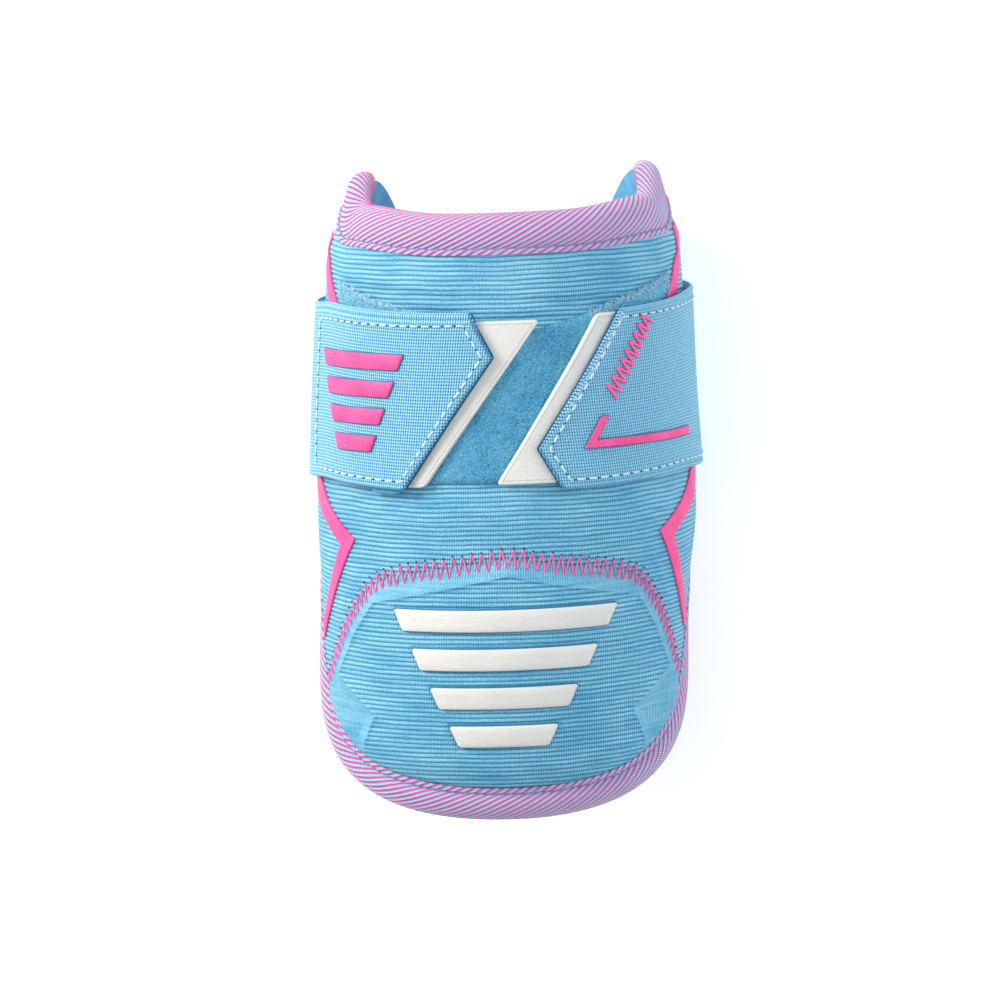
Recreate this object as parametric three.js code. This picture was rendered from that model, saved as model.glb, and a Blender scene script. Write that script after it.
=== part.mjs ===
import * as THREE from "three";

// A batter's elbow guard of padded cloth, lying on its open back with its front facing up.
// Millimetres. Seen from the front, +X is to the right and +Y towards the top edge; +Z is out of the front.
//
// A place on the guard is given by its turn round the arm in degrees (0 at the front, positive to the
// right), its rise from the lowest point of the foam, and its lift out of the foam's cloth face.

const { smoothstep, lerp, degToRad } = THREE.MathUtils;

// Foam wall, its lining, and the gap kept between pieces that touch
const FOAM = 5.2;
const LINING = 0.9;
const GAP = 0.3;
const INSIDE = FOAM + GAP + LINING;
const MEAN_HALF_WIDTH = 55;
const MEAN_DEPTH = 49;
const REAR_DEPTH = 48;
const SIDE_SKEW = 1.7;
const SECTION_ROUNDING = 6;

// Cloth face: half width of the section, depth of its front half, and its sideways shift, up the guard
const SECTIONS = [
  { rise: -3, halfWidth: 54.6, frontDepth: 42.0, shift: 0 },
  { rise: 20, halfWidth: 55.0, frontDepth: 47.4, shift: 0 },
  { rise: 45, halfWidth: 54.2, frontDepth: 50.4, shift: 0 },
  { rise: 60, halfWidth: 54.6, frontDepth: 50.9, shift: 0.4 },
  { rise: 82, halfWidth: 56.6, frontDepth: 50.6, shift: 1.0 },
  { rise: 95, halfWidth: 55.8, frontDepth: 50.0, shift: 0.7 },
  { rise: 120, halfWidth: 54.4, frontDepth: 49.0, shift: 0 },
  { rise: 150, halfWidth: 53.0, frontDepth: 48.0, shift: 0 },
  { rise: 162, halfWidth: 52.2, frontDepth: 47.2, shift: 0 },
  { rise: 169, halfWidth: 50.4, frontDepth: 46.4, shift: 0 },
  { rise: 175, halfWidth: 48.0, frontDepth: 45.6, shift: 0 },
  { rise: 187, halfWidth: 44.4, frontDepth: 44.0, shift: 0 },
];

// Edges of the foam wall
const WING_TURN = 140;
const FRONT_TOP = 174.2;
const SHOULDER_START_TURN = 22;
const SHOULDER_TURN = 62;
const SHOULDER_RISE = 1.8;
const EAR_START_TURN = 65;
const EAR_FULL_TURN = 92;
const EAR_TURN = 98;
const EAR_RISE = 8;
const WING_TOP = 152;
const SIDE_BOTTOM = 44.5;
const BOTTOM_ROUNDNESS = 1.15;
const BOTTOM_SWEEP = 3;
const REAR_FLATTENING = 0.0235;
const LOW_CORNER_TURN = 131;
const LOW_CORNER_RADIUS = 8;

// Strap: one elastic band, round the back and over the front, whose slanted ends face each other
const STRAP_WIDTH = 50.6;
const STRAP_THICKNESS = 1.6;
const STRAP_MIDDLE = 122.2;
const STRAP_SIDE_RISE = 1.8;
const STRAP_RISE_START_TURN = 20;
const STRAP_RISE_END_TURN = 80;
const STRAP_MEET_TURN = 3;
const STRAP_FRONT_TURN = 52;
const LOOP_THICKNESS = 1.0;
const HOOK_THICKNESS = 1.2;
const LAYER_GAP = 0.3;
const HOOK_LIFT = 2 * LAYER_GAP + LOOP_THICKNESS;
const STRAP_FRONT_LIFT = HOOK_LIFT + HOOK_THICKNESS + LAYER_GAP;

// The tight strap presses the wings in behind the arm, fading out past its own edges
const SQUEEZE = 2.6;
const SQUEEZE_START_TURN = 100;
const SQUEEZE_FULL_TURN = 134;
const SQUEEZE_FULL_REACH = 8;
const SQUEEZE_END_REACH = 30;

// Slanted end of the strap's left half, from its lower to its upper edge, as turns from where the ends meet
const STRAP_END = [
  { across: -1, turn: -33 },
  { across: 0.53, turn: -6.4 },
  { across: 1, turn: -13 },
];

// White tab that continues the left end: the edge under the strap and the free edge
const TAB_EDGES = [
  { across: -1.05, hidden: -34.9, free: -27.1 },
  { across: 1, hidden: -11.8, free: 7 },
];
const TAB_LOW = -0.97;
const TAB_HIGH = 0.94;
const HOOK_PAD_LOW = -1.05;
const HOOK_PAD_END_TURN = -45;

// How far the strap's inner face stands off the cloth on its way round to the back
const STRAP_LIFT = [
  { turn: 50, lift: STRAP_FRONT_LIFT },
  { turn: 62, lift: 2.4 },
  { turn: 72, lift: 1.8 },
  { turn: 90, lift: 1.3 },
  { turn: 110, lift: 0.8 },
  { turn: 125, lift: 0.4 },
  { turn: 140, lift: 0.35 },
];

// Folded tape on the top and bottom edges
const BINDING_GAP = 0.5;
const BINDING_LEG = 8;
const TOP_BINDING_LEG = 9.5;
const BINDING_TAPE = 0.8;
const BINDING_PUFF = 1.6;
const BINDING_PUFF_SHARE = 0.4;
const BINDING_ROLL = 1.6;
const TOP_BINDING_END_TURN = 104;
const BOTTOM_BINDING_END_TURN = 133;

// Raised cap: its sewn upper edge, and the ridge that its bevels run up to (both mirrored to the left)
const CAP_END_TURN = 69.5;
const CAP_EDGE_LIFT = 1.1;
const CAP_CROWN_LIFT = 3.0;
const CAP_BEVEL = 4.5;
const CAP_LOW_BEVEL = 7;
const CAP_LOW_OVERRUN = 1;
const CAP_SEAM_ROUNDING = 1.5;
const CAP_SEAM = [
  { turn: 0, rise: 77 },
  { turn: 36, rise: 71.3 },
  { turn: 44, rise: 68.4 },
  { turn: 51, rise: 62 },
  { turn: 58, rise: 54.5 },
  { turn: 65.5, rise: 44 },
  { turn: 70.5, rise: 36 },
];
const CAP_RIDGE = [
  { turn: 0, rise: 72.2 },
  { turn: 17.6, rise: 68.4 },
  { turn: 42, rise: 63.5 },
  { turn: 50, rise: 53.7 },
  { turn: 58, rise: 40.7 },
  { turn: 41, rise: 29.8 },
  { turn: 47, rise: 17.5 },
  { turn: 30, rise: -10 },
];

// Napped panel under the strap's ends, with a V-shaped upper edge
const LOOP_BOTTOM = 98.6;
const LOOP_TOP = 140.7;
const LOOP_TOP_SLOPE = 0.235;
const LOOP_SIDE = [
  { height: 0, turn: 52 },
  { height: 0.78, turn: 52 },
  { height: 1, turn: 67 },
];

// Bent stripe down the right side: its corners on the front edge and on the back edge
const STRIPE_THICKNESS = 0.5;
const STRIPE_STEP_TURN = 3.5;
const SIDE_STRIPE = [
  { frontTurn: 76.5, frontRise: 167.4, backTurn: 82, backRise: 169.4 },
  { frontTurn: 74, frontRise: 161.5, backTurn: 80, backRise: 160 },
  { frontTurn: 55.5, frontRise: 139, backTurn: 63, backRise: 138 },
  { frontTurn: 81, frontRise: 99.5, backTurn: 88, backRise: 96.5 },
  { frontTurn: 52, frontRise: 80.8, backTurn: 60, backRise: 78.6 },
  { frontTurn: 77.6, frontRise: 48.6, backTurn: 80.2, backRise: 51.2 },
];

// Plain raised bars: their middle, height, and half lengths along the upper and lower edge
const BAR_THICKNESS = 1.2;
const BAR_STEP_TURN = 3;
const BAR_LEAST_STEPS = 4;
const CAP_BARS = [
  { turn: 0, rise: 59, height: 6.4, topHalf: 34, bottomHalf: 31 },
  { turn: 0, rise: 47.5, height: 6.4, topHalf: 28, bottomHalf: 25 },
  { turn: 0, rise: 36, height: 6.4, topHalf: 22, bottomHalf: 19 },
  { turn: 0, rise: 24.5, height: 6.4, topHalf: 16, bottomHalf: 13 },
];
const STRAP_TRIM_THICKNESS = 0.7;
const STRAP_TRIM_STEP_TURN = 6;
const STRAP_BARS = [
  { turn: -48, rise: 134.2, height: 4.6, topHalf: 18, bottomHalf: 16 },
  { turn: -48, rise: 126.2, height: 4.6, topHalf: 15, bottomHalf: 13 },
  { turn: -48, rise: 118.2, height: 4.6, topHalf: 12, bottomHalf: 10 },
  { turn: -48, rise: 110.2, height: 4.6, topHalf: 9, bottomHalf: 7 },
];

// Bent line on the strap's right end: corners on its inner and outer edge
const STRAP_STRIPE = [
  { frontTurn: 28.2, frontRise: 117.2, backTurn: 30.8, backRise: 117.2 },
  { frontTurn: 22.6, frontRise: 108.2, backTurn: 26.6, backRise: 110.6 },
  { frontTurn: 66, frontRise: 108.2, backTurn: 66, backRise: 110.6 },
];

const SKY_CLOTH = 0x7fc4e6;
const DEEP_CLOTH = 0x3f9cc6;
const PINK = 0xff5fae;
const MAUVE_TAPE = 0xcf86bd;
const WHITE = 0xf1f1ef;

// Straight-line value of one column of a table, at a place along its key column
function between(table, key, at, column) {
  const last = table.length - 2;
  const found = table.findIndex((row, index) => index > 0 && at <= row[key]);
  const index = found < 0 ? last : found - 1;
  const [low, high] = [table[index], table[index + 1]];
  const share = THREE.MathUtils.clamp((at - low[key]) / (high[key] - low[key]), 0, 1);
  return lerp(low[column], high[column], share);
}

// The same value, rounded off over a short span on either side
function rounded(table, key, at, column, span) {
  const samples = [-1, -0.5, 0, 0.5, 1];
  const total = samples.reduce((sum, step) => sum + between(table, key, at + step * span, column), 0);
  return total / samples.length;
}

function foamTop(turn) {
  const around = Math.abs(turn);
  const shoulder = SHOULDER_RISE * smoothstep(around, SHOULDER_START_TURN, SHOULDER_TURN);
  const tip = FRONT_TOP + shoulder + EAR_RISE * smoothstep(around, EAR_START_TURN, EAR_FULL_TURN);
  if (around <= EAR_TURN) {
    return tip;
  }
  const past = Math.min(1, (around - EAR_TURN) / (WING_TURN - EAR_TURN));
  return WING_TOP + (tip - WING_TOP) * Math.sqrt(1 - past * past);
}

function foamBottom(turn) {
  const around = Math.abs(turn);
  if (around <= 90) {
    const back = 1 - Math.cos(degToRad(around));
    return (SIDE_BOTTOM / 2) * (back ** BOTTOM_ROUNDNESS + back ** BOTTOM_SWEEP);
  }
  const past = around - 90;
  const slope = degToRad((SIDE_BOTTOM / 2) * (BOTTOM_ROUNDNESS + BOTTOM_SWEEP));
  const edge = SIDE_BOTTOM + slope * past - REAR_FLATTENING * past * past;
  const corner = THREE.MathUtils.clamp((around - LOW_CORNER_TURN) / (WING_TURN - LOW_CORNER_TURN), 0, 1);
  return edge + LOW_CORNER_RADIUS * (1 - Math.sqrt(1 - corner * corner));
}

function strapMiddle(turn) {
  const side = smoothstep(Math.abs(turn), STRAP_RISE_START_TURN, STRAP_RISE_END_TURN);
  return STRAP_MIDDLE + STRAP_SIDE_RISE * side;
}

function squeeze(turn, rise) {
  const round = smoothstep(Math.abs(turn), SQUEEZE_START_TURN, SQUEEZE_FULL_TURN);
  const off = Math.abs(rise - strapMiddle(turn)) - STRAP_WIDTH / 2;
  return SQUEEZE * round * (1 - smoothstep(off, SQUEEZE_FULL_REACH, SQUEEZE_END_REACH));
}

// Half width, depth and sideways shift of the section that a place lies on
function sectionAt(turn, rise) {
  const column = (name) => rounded(SECTIONS, "rise", rise, name, SECTION_ROUNDING);
  const depth = Math.abs(turn) < 90 ? column("frontDepth") : REAR_DEPTH;
  return { halfWidth: column("halfWidth"), depth, shift: column("shift") };
}

function faceNormal(turn, rise) {
  const angle = degToRad(turn);
  const { halfWidth, depth } = sectionAt(turn, rise);
  return new THREE.Vector3(Math.sin(angle) / halfWidth, 0, Math.cos(angle) / depth).normalize();
}

function facePoint(turn, rise, lift) {
  const angle = degToRad(turn);
  const { halfWidth, depth, shift } = sectionAt(turn, rise);
  const x = shift + halfWidth * Math.sin(angle);
  const y = rise + SIDE_SKEW * Math.sin(angle);
  const point = new THREE.Vector3(x, y, depth * Math.cos(angle));
  return point.addScaledVector(faceNormal(turn, rise), lift - squeeze(turn, rise));
}

function arcPerDegree(turn) {
  const angle = degToRad(turn);
  return degToRad(Math.hypot(MEAN_HALF_WIDTH * Math.cos(angle), MEAN_DEPTH * Math.sin(angle)));
}

// Step of one millimetre from an edge into the wall, square to the edge; into is 1 for up and -1 for down
function inwardStep(edge, turn, into) {
  const slope = (edge(turn + 0.5) - edge(turn - 0.5)) / arcPerDegree(turn);
  const length = Math.hypot(1, slope);
  return { turn: (-into * slope) / (length * arcPerDegree(turn)), rise: into / length };
}

// Rise of the line that keeps a distance from the foam's bottom edge
function aboveBottom(turn, distance) {
  let foot = turn;
  for (let round = 0; round < 8; round += 1) {
    foot = turn - inwardStep(foamBottom, foot, 1).turn * distance;
  }
  return foamBottom(foot) + inwardStep(foamBottom, foot, 1).rise * distance;
}

// Closed solid between two grids of points, columns running to the right and rows upwards
function closedShell(outer, inner) {
  const columns = outer.length;
  const rows = outer[0].length;
  const right = columns - 1;
  const top = rows - 1;
  const at = (side, column, row) => (side * columns + column) * rows + row;
  const faces = [];
  const quad = (a, b, c, d) => faces.push(a, b, c, a, c, d);
  for (let i = 0; i < right; i += 1) {
    for (let j = 0; j < top; j += 1) {
      quad(at(0, i, j), at(0, i + 1, j), at(0, i + 1, j + 1), at(0, i, j + 1));
      quad(at(1, i, j), at(1, i, j + 1), at(1, i + 1, j + 1), at(1, i + 1, j));
    }
    quad(at(1, i, 0), at(1, i + 1, 0), at(0, i + 1, 0), at(0, i, 0));
    quad(at(0, i, top), at(0, i + 1, top), at(1, i + 1, top), at(1, i, top));
  }
  for (let j = 0; j < top; j += 1) {
    quad(at(0, 0, j), at(0, 0, j + 1), at(1, 0, j + 1), at(1, 0, j));
    quad(at(1, right, j), at(1, right, j + 1), at(0, right, j + 1), at(0, right, j));
  }
  const points = [...outer.flat(), ...inner.flat()];
  const geometry = new THREE.BufferGeometry().setFromPoints(points);
  geometry.setIndex(faces);
  geometry.computeVertexNormals();
  return geometry;
}

// Solid over a grid of places on the cloth face, between two lifts that may vary from place to place
function slab(places, innerLift, outerLift) {
  const raise = (lift) => places.map((column) => column.map((p) => facePoint(p.turn, p.rise, lift(p))));
  return closedShell(raise(outerLift), raise(innerLift));
}

// Places between a lower and an upper edge, for each turn
function patch(turns, shares, lowEdge, highEdge) {
  return turns.map((turn) => shares.map((share) => {
    const rise = lerp(lowEdge(turn), highEdge(turn), share);
    return { turn, rise };
  }));
}

function mirroredTurns(turns) {
  return [...turns.filter((turn) => turn > 0).map((turn) => -turn).reverse(), ...turns];
}

function evenSteps(low, high, count) {
  return Array.from({ length: count + 1 }, (_, index) => lerp(low, high, index / count));
}

// Foam wall and lining share one grid, so that they stay parallel
const FRONT_TURNS = [0, 10, 20, 30, 39, 47, 54, 61, 68, 75, 82, 90];
const REAR_TURNS = [EAR_TURN, 105, 112, 120, 125, 130, 134, 137, 139, WING_TURN];
const WALL_TURNS = mirroredTurns([...FRONT_TURNS, ...REAR_TURNS]);
const WALL_SHARES = [0, 0.07, 0.16, 0.26, 0.38, 0.5, 0.62, 0.75, 0.86, 0.94, 1];
const WALL_PLACES = patch(WALL_TURNS, WALL_SHARES, foamBottom, foamTop);

function bodyPanel() {
  return slab(WALL_PLACES, () => -FOAM, () => 0);
}

function lining() {
  return slab(WALL_PLACES, () => -INSIDE, () => -FOAM - GAP);
}

// Tape folded round an edge: rows of the fold from the outside, over the edge, to the inside
function bindingFold(leg) {
  const outsideLeg = [
    { inset: leg, side: 1, thickness: BINDING_TAPE, over: 0 },
    { inset: leg * BINDING_PUFF_SHARE, side: 1, thickness: BINDING_PUFF, over: 0 },
    { inset: -BINDING_GAP, side: 1, thickness: BINDING_TAPE, over: BINDING_ROLL / 3 },
  ];
  const insideLeg = outsideLeg.map((row) => ({ ...row, side: -1 })).reverse();
  return [...outsideLeg, { inset: -BINDING_GAP, side: 0, thickness: 0, over: BINDING_ROLL }, ...insideLeg];
}

function binding(edge, leg, turns, into) {
  const fold = into < 0 ? bindingFold(leg) : bindingFold(leg).reverse();
  const middle = -INSIDE / 2;
  const reach = INSIDE / 2 + BINDING_GAP;
  const layer = (face) => turns.map((turn) => fold.map((row) => {
    const step = inwardStep(edge, turn, into);
    const inset = row.inset - face * row.over;
    const lift = middle + row.side * (reach + face * row.thickness);
    return facePoint(turn + step.turn * inset, edge(turn) + step.rise * inset, lift);
  }));
  return closedShell(layer(1), layer(0));
}

function topBinding() {
  return binding(foamTop, TOP_BINDING_LEG, evenSteps(-TOP_BINDING_END_TURN, TOP_BINDING_END_TURN, 36), -1);
}

function bottomBinding() {
  const turns = evenSteps(-BOTTOM_BINDING_END_TURN, BOTTOM_BINDING_END_TURN, 46);
  return binding(foamBottom, BINDING_LEG, turns, 1);
}

// Distance from a place to the cap's ridge, positive inside it
function insideRidge(place) {
  const side = { x: Math.abs(place.turn) * arcPerDegree(0), y: place.rise };
  let nearest = Infinity;
  let inside = false;
  CAP_RIDGE.forEach((corner, index) => {
    const next = CAP_RIDGE[(index + 1) % CAP_RIDGE.length];
    const closing = index === CAP_RIDGE.length - 1;
    const a = { x: corner.turn * arcPerDegree(0), y: corner.rise };
    const b = closing ? { x: 0, y: corner.rise } : { x: next.turn * arcPerDegree(0), y: next.rise };
    const along = { x: b.x - a.x, y: b.y - a.y };
    const dot = (side.x - a.x) * along.x + (side.y - a.y) * along.y;
    const share = THREE.MathUtils.clamp(dot / (along.x ** 2 + along.y ** 2), 0, 1);
    nearest = Math.min(nearest, Math.hypot(side.x - a.x - share * along.x, side.y - a.y - share * along.y));
    const crosses = a.y > side.y !== b.y > side.y;
    if (crosses && side.x < a.x + ((side.y - a.y) / along.y) * along.x) {
      inside = !inside;
    }
  });
  return inside ? nearest : -nearest;
}

function capSeam(turn) {
  return rounded(CAP_SEAM, "turn", Math.abs(turn), "rise", CAP_SEAM_ROUNDING);
}

function capLow(turn) {
  return aboveBottom(turn, BINDING_LEG + GAP);
}

function capLift(place) {
  const bevel = smoothstep(insideRidge(place), -CAP_BEVEL, 0);
  const roll = smoothstep(place.rise - capLow(place.turn), -CAP_LOW_OVERRUN, CAP_LOW_BEVEL);
  return lerp(CAP_EDGE_LIFT, CAP_CROWN_LIFT, bevel * roll);
}

function capPanel() {
  const turns = mirroredTurns([0, 6, 12, 17.6, 24, 30, 36, 41, 44, 47, 50, 54, 58, 62, 66, CAP_END_TURN]);
  const shares = [0, 0.08, 0.17, 0.27, 0.38, 0.5, 0.62, 0.73, 0.82, 0.88, 0.94, 1];
  return slab(patch(turns, shares, capLow, capSeam), () => GAP, capLift);
}

function loopPanel() {
  const shares = [0, 0.26, 0.52, 0.78, 0.85, 0.92, 1];
  const column = (side) => shares.map((share) => {
    const turn = side * between(LOOP_SIDE, "height", share, "turn");
    return { turn, rise: lerp(LOOP_BOTTOM, LOOP_TOP + LOOP_TOP_SLOPE * Math.abs(turn), share) };
  });
  const places = evenSteps(-1, 1, 22).map(column);
  return slab(places, () => LAYER_GAP, () => LAYER_GAP + LOOP_THICKNESS);
}

// Turn of the strap's end at a place across its width; the right end is the left one turned half round
function strapEnd(across, side) {
  return STRAP_MEET_TURN - side * between(STRAP_END, "across", -side * across, "turn");
}

function strapLift(turn) {
  return between(STRAP_LIFT, "turn", Math.abs(turn), "lift");
}

function strapRise(turn, across) {
  return strapMiddle(turn) + (across * STRAP_WIDTH) / 2;
}

// The strap crosses the open back as one flat face, just clear of the wings' rear edges
function strapBack(layer) {
  const wing = facePoint(WING_TURN, strapRise(WING_TURN, 1), 0);
  return wing.z - GAP - layer * STRAP_THICKNESS;
}

// Point on the strap's inner face (layer 0) or outer face (layer 1); turns run on past 180 to the left
function strapPoint(turn, across, layer) {
  const signed = turn > 180 ? turn - 360 : turn;
  const rise = strapRise(signed, across);
  const behind = 180 - WING_TURN;
  if (Math.abs(turn - 180) > behind) {
    return facePoint(signed, rise, strapLift(signed) + layer * STRAP_THICKNESS);
  }
  const right = facePoint(WING_TURN, strapRise(WING_TURN, across), 0);
  const left = facePoint(-WING_TURN, strapRise(-WING_TURN, across), 0);
  const point = right.clone().lerp(left, (turn - WING_TURN) / (2 * behind));
  if (Math.abs(turn - 180) === behind) {
    const out = faceNormal(signed, rise);
    const bend = out.clone().add(new THREE.Vector3(0, 0, -1)).normalize();
    point.addScaledVector(bend, (GAP + layer * STRAP_THICKNESS) / out.dot(bend));
  }
  return point.setZ(strapBack(layer));
}

function strapBand() {
  const acrossRows = [-1, -0.765, -0.53, -0.265, 0, 0.265, 0.53, 0.765, 1];
  const sideTurns = [60, 70, 80, 90, 100, 110, 120, 128, 136, WING_TURN];
  const backTurns = [156, 180, 204];
  const middleTurns = [...sideTurns, ...backTurns, ...sideTurns.map((turn) => 360 - turn).reverse()];
  const shares = evenSteps(0, 1, 7);
  const rightEnd = shares.map((share) => (row) => lerp(strapEnd(row, 1), STRAP_FRONT_TURN, share));
  const leftEnd = shares.map((share) => (row) => {
    return lerp(360 - STRAP_FRONT_TURN, 360 + strapEnd(row, -1), share);
  });
  const stations = [...rightEnd, ...middleTurns.map((turn) => () => turn), ...leftEnd];
  const layer = (face) => stations.map((turnOf) => {
    return acrossRows.map((row) => strapPoint(turnOf(row), row, face));
  });
  return closedShell(layer(1), layer(0));
}

// Places of a strip on the strap's front, between two edges given as turns for each row across the left end
function endStrip(side, rows, firstEdge, secondEdge, count) {
  const shares = side < 0 ? evenSteps(0, 1, count) : evenSteps(1, 0, count);
  const order = side < 0 ? rows : [...rows].reverse();
  return shares.map((share) => order.map((across) => ({
    turn: STRAP_MEET_TURN - side * lerp(firstEdge(across), secondEdge(across), share),
    rise: STRAP_MIDDLE - (side * across * STRAP_WIDTH) / 2,
  })));
}

function tabHidden(across) {
  return between(TAB_EDGES, "across", across, "hidden");
}

function pullTab(side) {
  const free = (across) => between(TAB_EDGES, "across", across, "free");
  const rows = evenSteps(TAB_LOW, TAB_HIGH, 10);
  const places = endStrip(side, rows, tabHidden, free, 4);
  return slab(places, () => HOOK_LIFT, () => HOOK_LIFT + HOOK_THICKNESS);
}

function hookPad(side) {
  const end = (across) => tabHidden(across) - (2 * GAP) / arcPerDegree(0);
  const rows = evenSteps(HOOK_PAD_LOW, 1, 8);
  const places = endStrip(side, rows, () => HOOK_PAD_END_TURN, end, 6);
  return slab(places, () => HOOK_LIFT, () => HOOK_LIFT + HOOK_THICKNESS);
}

// Places of a bent strip, given by corners on its front and back edge, filled in along its way
function bentStrip(corners, side, stepTurn) {
  const places = [];
  corners.forEach((corner, index) => {
    const next = corners[index + 1] ?? corner;
    const count = Math.max(1, Math.ceil(Math.abs(next.frontTurn - corner.frontTurn) / stepTurn));
    for (let step = 0; step < (next === corner ? 1 : count); step += 1) {
      const mix = (column) => lerp(corner[column], next[column], step / count);
      const front = { turn: side * mix("frontTurn"), rise: mix("frontRise") };
      const back = { turn: side * mix("backTurn"), rise: mix("backRise") };
      places.push([front, back]);
    }
  });
  return places;
}

function sideStripe(side) {
  const strip = bentStrip(SIDE_STRIPE, side, STRIPE_STEP_TURN);
  const places = side > 0 ? strip : strip.reverse();
  return slab(places, () => LAYER_GAP, () => LAYER_GAP + STRIPE_THICKNESS);
}

function strapTrimLift(place) {
  return strapLift(place.turn) + STRAP_THICKNESS + LAYER_GAP;
}

function strapStripe() {
  const places = bentStrip(STRAP_STRIPE, 1, STRAP_TRIM_STEP_TURN);
  return slab(places, strapTrimLift, (place) => strapTrimLift(place) + STRAP_TRIM_THICKNESS);
}

function barPlaces(bar) {
  const steps = evenSteps(-1, 1, Math.max(BAR_LEAST_STEPS, Math.round(bar.topHalf / BAR_STEP_TURN)));
  return steps.map((step) => [
    { turn: bar.turn + step * bar.bottomHalf, rise: bar.rise - bar.height / 2 },
    { turn: bar.turn + step * bar.topHalf, rise: bar.rise + bar.height / 2 },
  ]);
}

function capBar(bar) {
  const seat = CAP_CROWN_LIFT + LAYER_GAP;
  return slab(barPlaces(bar), () => seat, () => seat + BAR_THICKNESS);
}

function strapBar(bar) {
  return slab(barPlaces(bar), strapTrimLift, (place) => strapTrimLift(place) + STRAP_TRIM_THICKNESS);
}

function addPiece(group, name, geometry, color, roughness) {
  const material = new THREE.MeshStandardMaterial({ color, roughness, metalness: 0 });
  const mesh = new THREE.Mesh(geometry, material);
  mesh.name = name;
  group.add(mesh);
}

const guard = new THREE.Group();
addPiece(guard, "body_panel", bodyPanel(), SKY_CLOTH, 0.85);
addPiece(guard, "lining", lining(), DEEP_CLOTH, 0.8);
addPiece(guard, "cap_panel", capPanel(), SKY_CLOTH, 0.8);
addPiece(guard, "top_binding", topBinding(), MAUVE_TAPE, 0.7);
addPiece(guard, "bottom_binding", bottomBinding(), MAUVE_TAPE, 0.7);
addPiece(guard, "loop_panel", loopPanel(), SKY_CLOTH, 0.95);
addPiece(guard, "strap_band", strapBand(), SKY_CLOTH, 0.8);
[["left", -1], ["right", 1]].forEach(([name, side]) => {
  addPiece(guard, `hook_pad_${name}`, hookPad(side), DEEP_CLOTH, 0.9);
  addPiece(guard, `pull_tab_${name}`, pullTab(side), WHITE, 0.45);
  addPiece(guard, `side_stripe_${name}`, sideStripe(side), PINK, 0.6);
});
CAP_BARS.forEach((bar, index) => addPiece(guard, `cap_bar_${index + 1}`, capBar(bar), WHITE, 0.4));
STRAP_BARS.forEach((bar, index) => addPiece(guard, `strap_bar_${index + 1}`, strapBar(bar), PINK, 0.5));
addPiece(guard, "strap_stripe", strapStripe(), PINK, 0.5);

// The origin is under the middle of the guard, on the surface that it lies on
const box = new THREE.Box3().setFromObject(guard);
const middle = box.getCenter(new THREE.Vector3());
guard.position.set(-middle.x, -middle.y, -box.min.z);

export default guard;
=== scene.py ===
import math

import bmesh
import bpy
import numpy as np
from mathutils import Matrix, Vector


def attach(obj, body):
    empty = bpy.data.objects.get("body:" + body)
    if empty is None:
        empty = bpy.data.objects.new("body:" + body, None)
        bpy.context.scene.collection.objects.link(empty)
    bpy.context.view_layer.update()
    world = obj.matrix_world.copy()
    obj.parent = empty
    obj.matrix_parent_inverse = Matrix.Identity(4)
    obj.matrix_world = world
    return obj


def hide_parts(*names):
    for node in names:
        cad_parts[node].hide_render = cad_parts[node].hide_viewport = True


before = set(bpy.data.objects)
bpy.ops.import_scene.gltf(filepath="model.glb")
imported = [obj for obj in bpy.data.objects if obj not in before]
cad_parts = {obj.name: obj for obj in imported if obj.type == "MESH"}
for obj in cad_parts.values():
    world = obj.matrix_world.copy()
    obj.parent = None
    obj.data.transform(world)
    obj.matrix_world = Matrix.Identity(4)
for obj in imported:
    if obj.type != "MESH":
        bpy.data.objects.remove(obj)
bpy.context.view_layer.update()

# A batter's elbow guard: padded corded cloth with a pressed elbow cap, bound edges and an elastic strap.
# A place on it is a turn round the arm in degrees (0 at the front, positive to the right), a rise from the
# lowest point of the foam and a lift out of the foam's cloth face, both in millimetres. Where a change is
# gradual, its pair of values is where it starts and where it is full. A side is -1 for left, 1 for right.

MM = 0.001
ORIGIN = np.array([0.594135, 92.788772, -36.600018])
rng = np.random.default_rng(7)

# Foam wall and lining
FOAM = 5.2
LINING = 0.9
GAP = 0.3
INSIDE = FOAM + GAP + LINING
LINING_INSET = 0.4
REAR_DEPTH = 48.0
SIDE_SKEW = 1.7
SECTION_ROUNDING = 6.0
ARC = math.radians(55.0)
MEAN_HALF_WIDTH = 55.0
MEAN_DEPTH = 49.0
EDGE_ROUNDING = 3.2

# Sections up the guard: rise, half width, depth of the front half, sideways shift
SECTION_RISE = [-3, 20, 45, 60, 82, 95, 120, 150, 162, 169, 175, 187]
SECTION_HALF_WIDTH = [54.6, 55.0, 54.2, 54.6, 56.6, 55.8, 54.4, 53.0, 52.2, 50.4, 48.0, 44.4]
SECTION_FRONT_DEPTH = [42.0, 47.4, 50.4, 50.9, 50.6, 50.0, 49.0, 48.0, 47.2, 46.4, 45.6, 44.0]
SECTION_SHIFT = [0, 0, 0, 0.4, 1.0, 0.7, 0, 0, 0, 0, 0, 0]

# Edges of the foam wall
WING_TURN = 140.0
FRONT_TOP = 174.2
SHOULDER_TURNS = (22.0, 62.0)
SHOULDER_RISE = 1.8
EAR_TURNS = (65.0, 92.0)
EAR_TURN = 98.0
EAR_RISE = 8.0
WING_TOP = 152.0
SIDE_BOTTOM = 44.5
BOTTOM_ROUNDNESS = 1.15
BOTTOM_SWEEP = 3.0
BOTTOM_TILT = 0.9
REAR_FLATTENING = 0.0235
LOW_CORNER_TURN = 131.0
LOW_CORNER_RADIUS = 8.0

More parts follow.
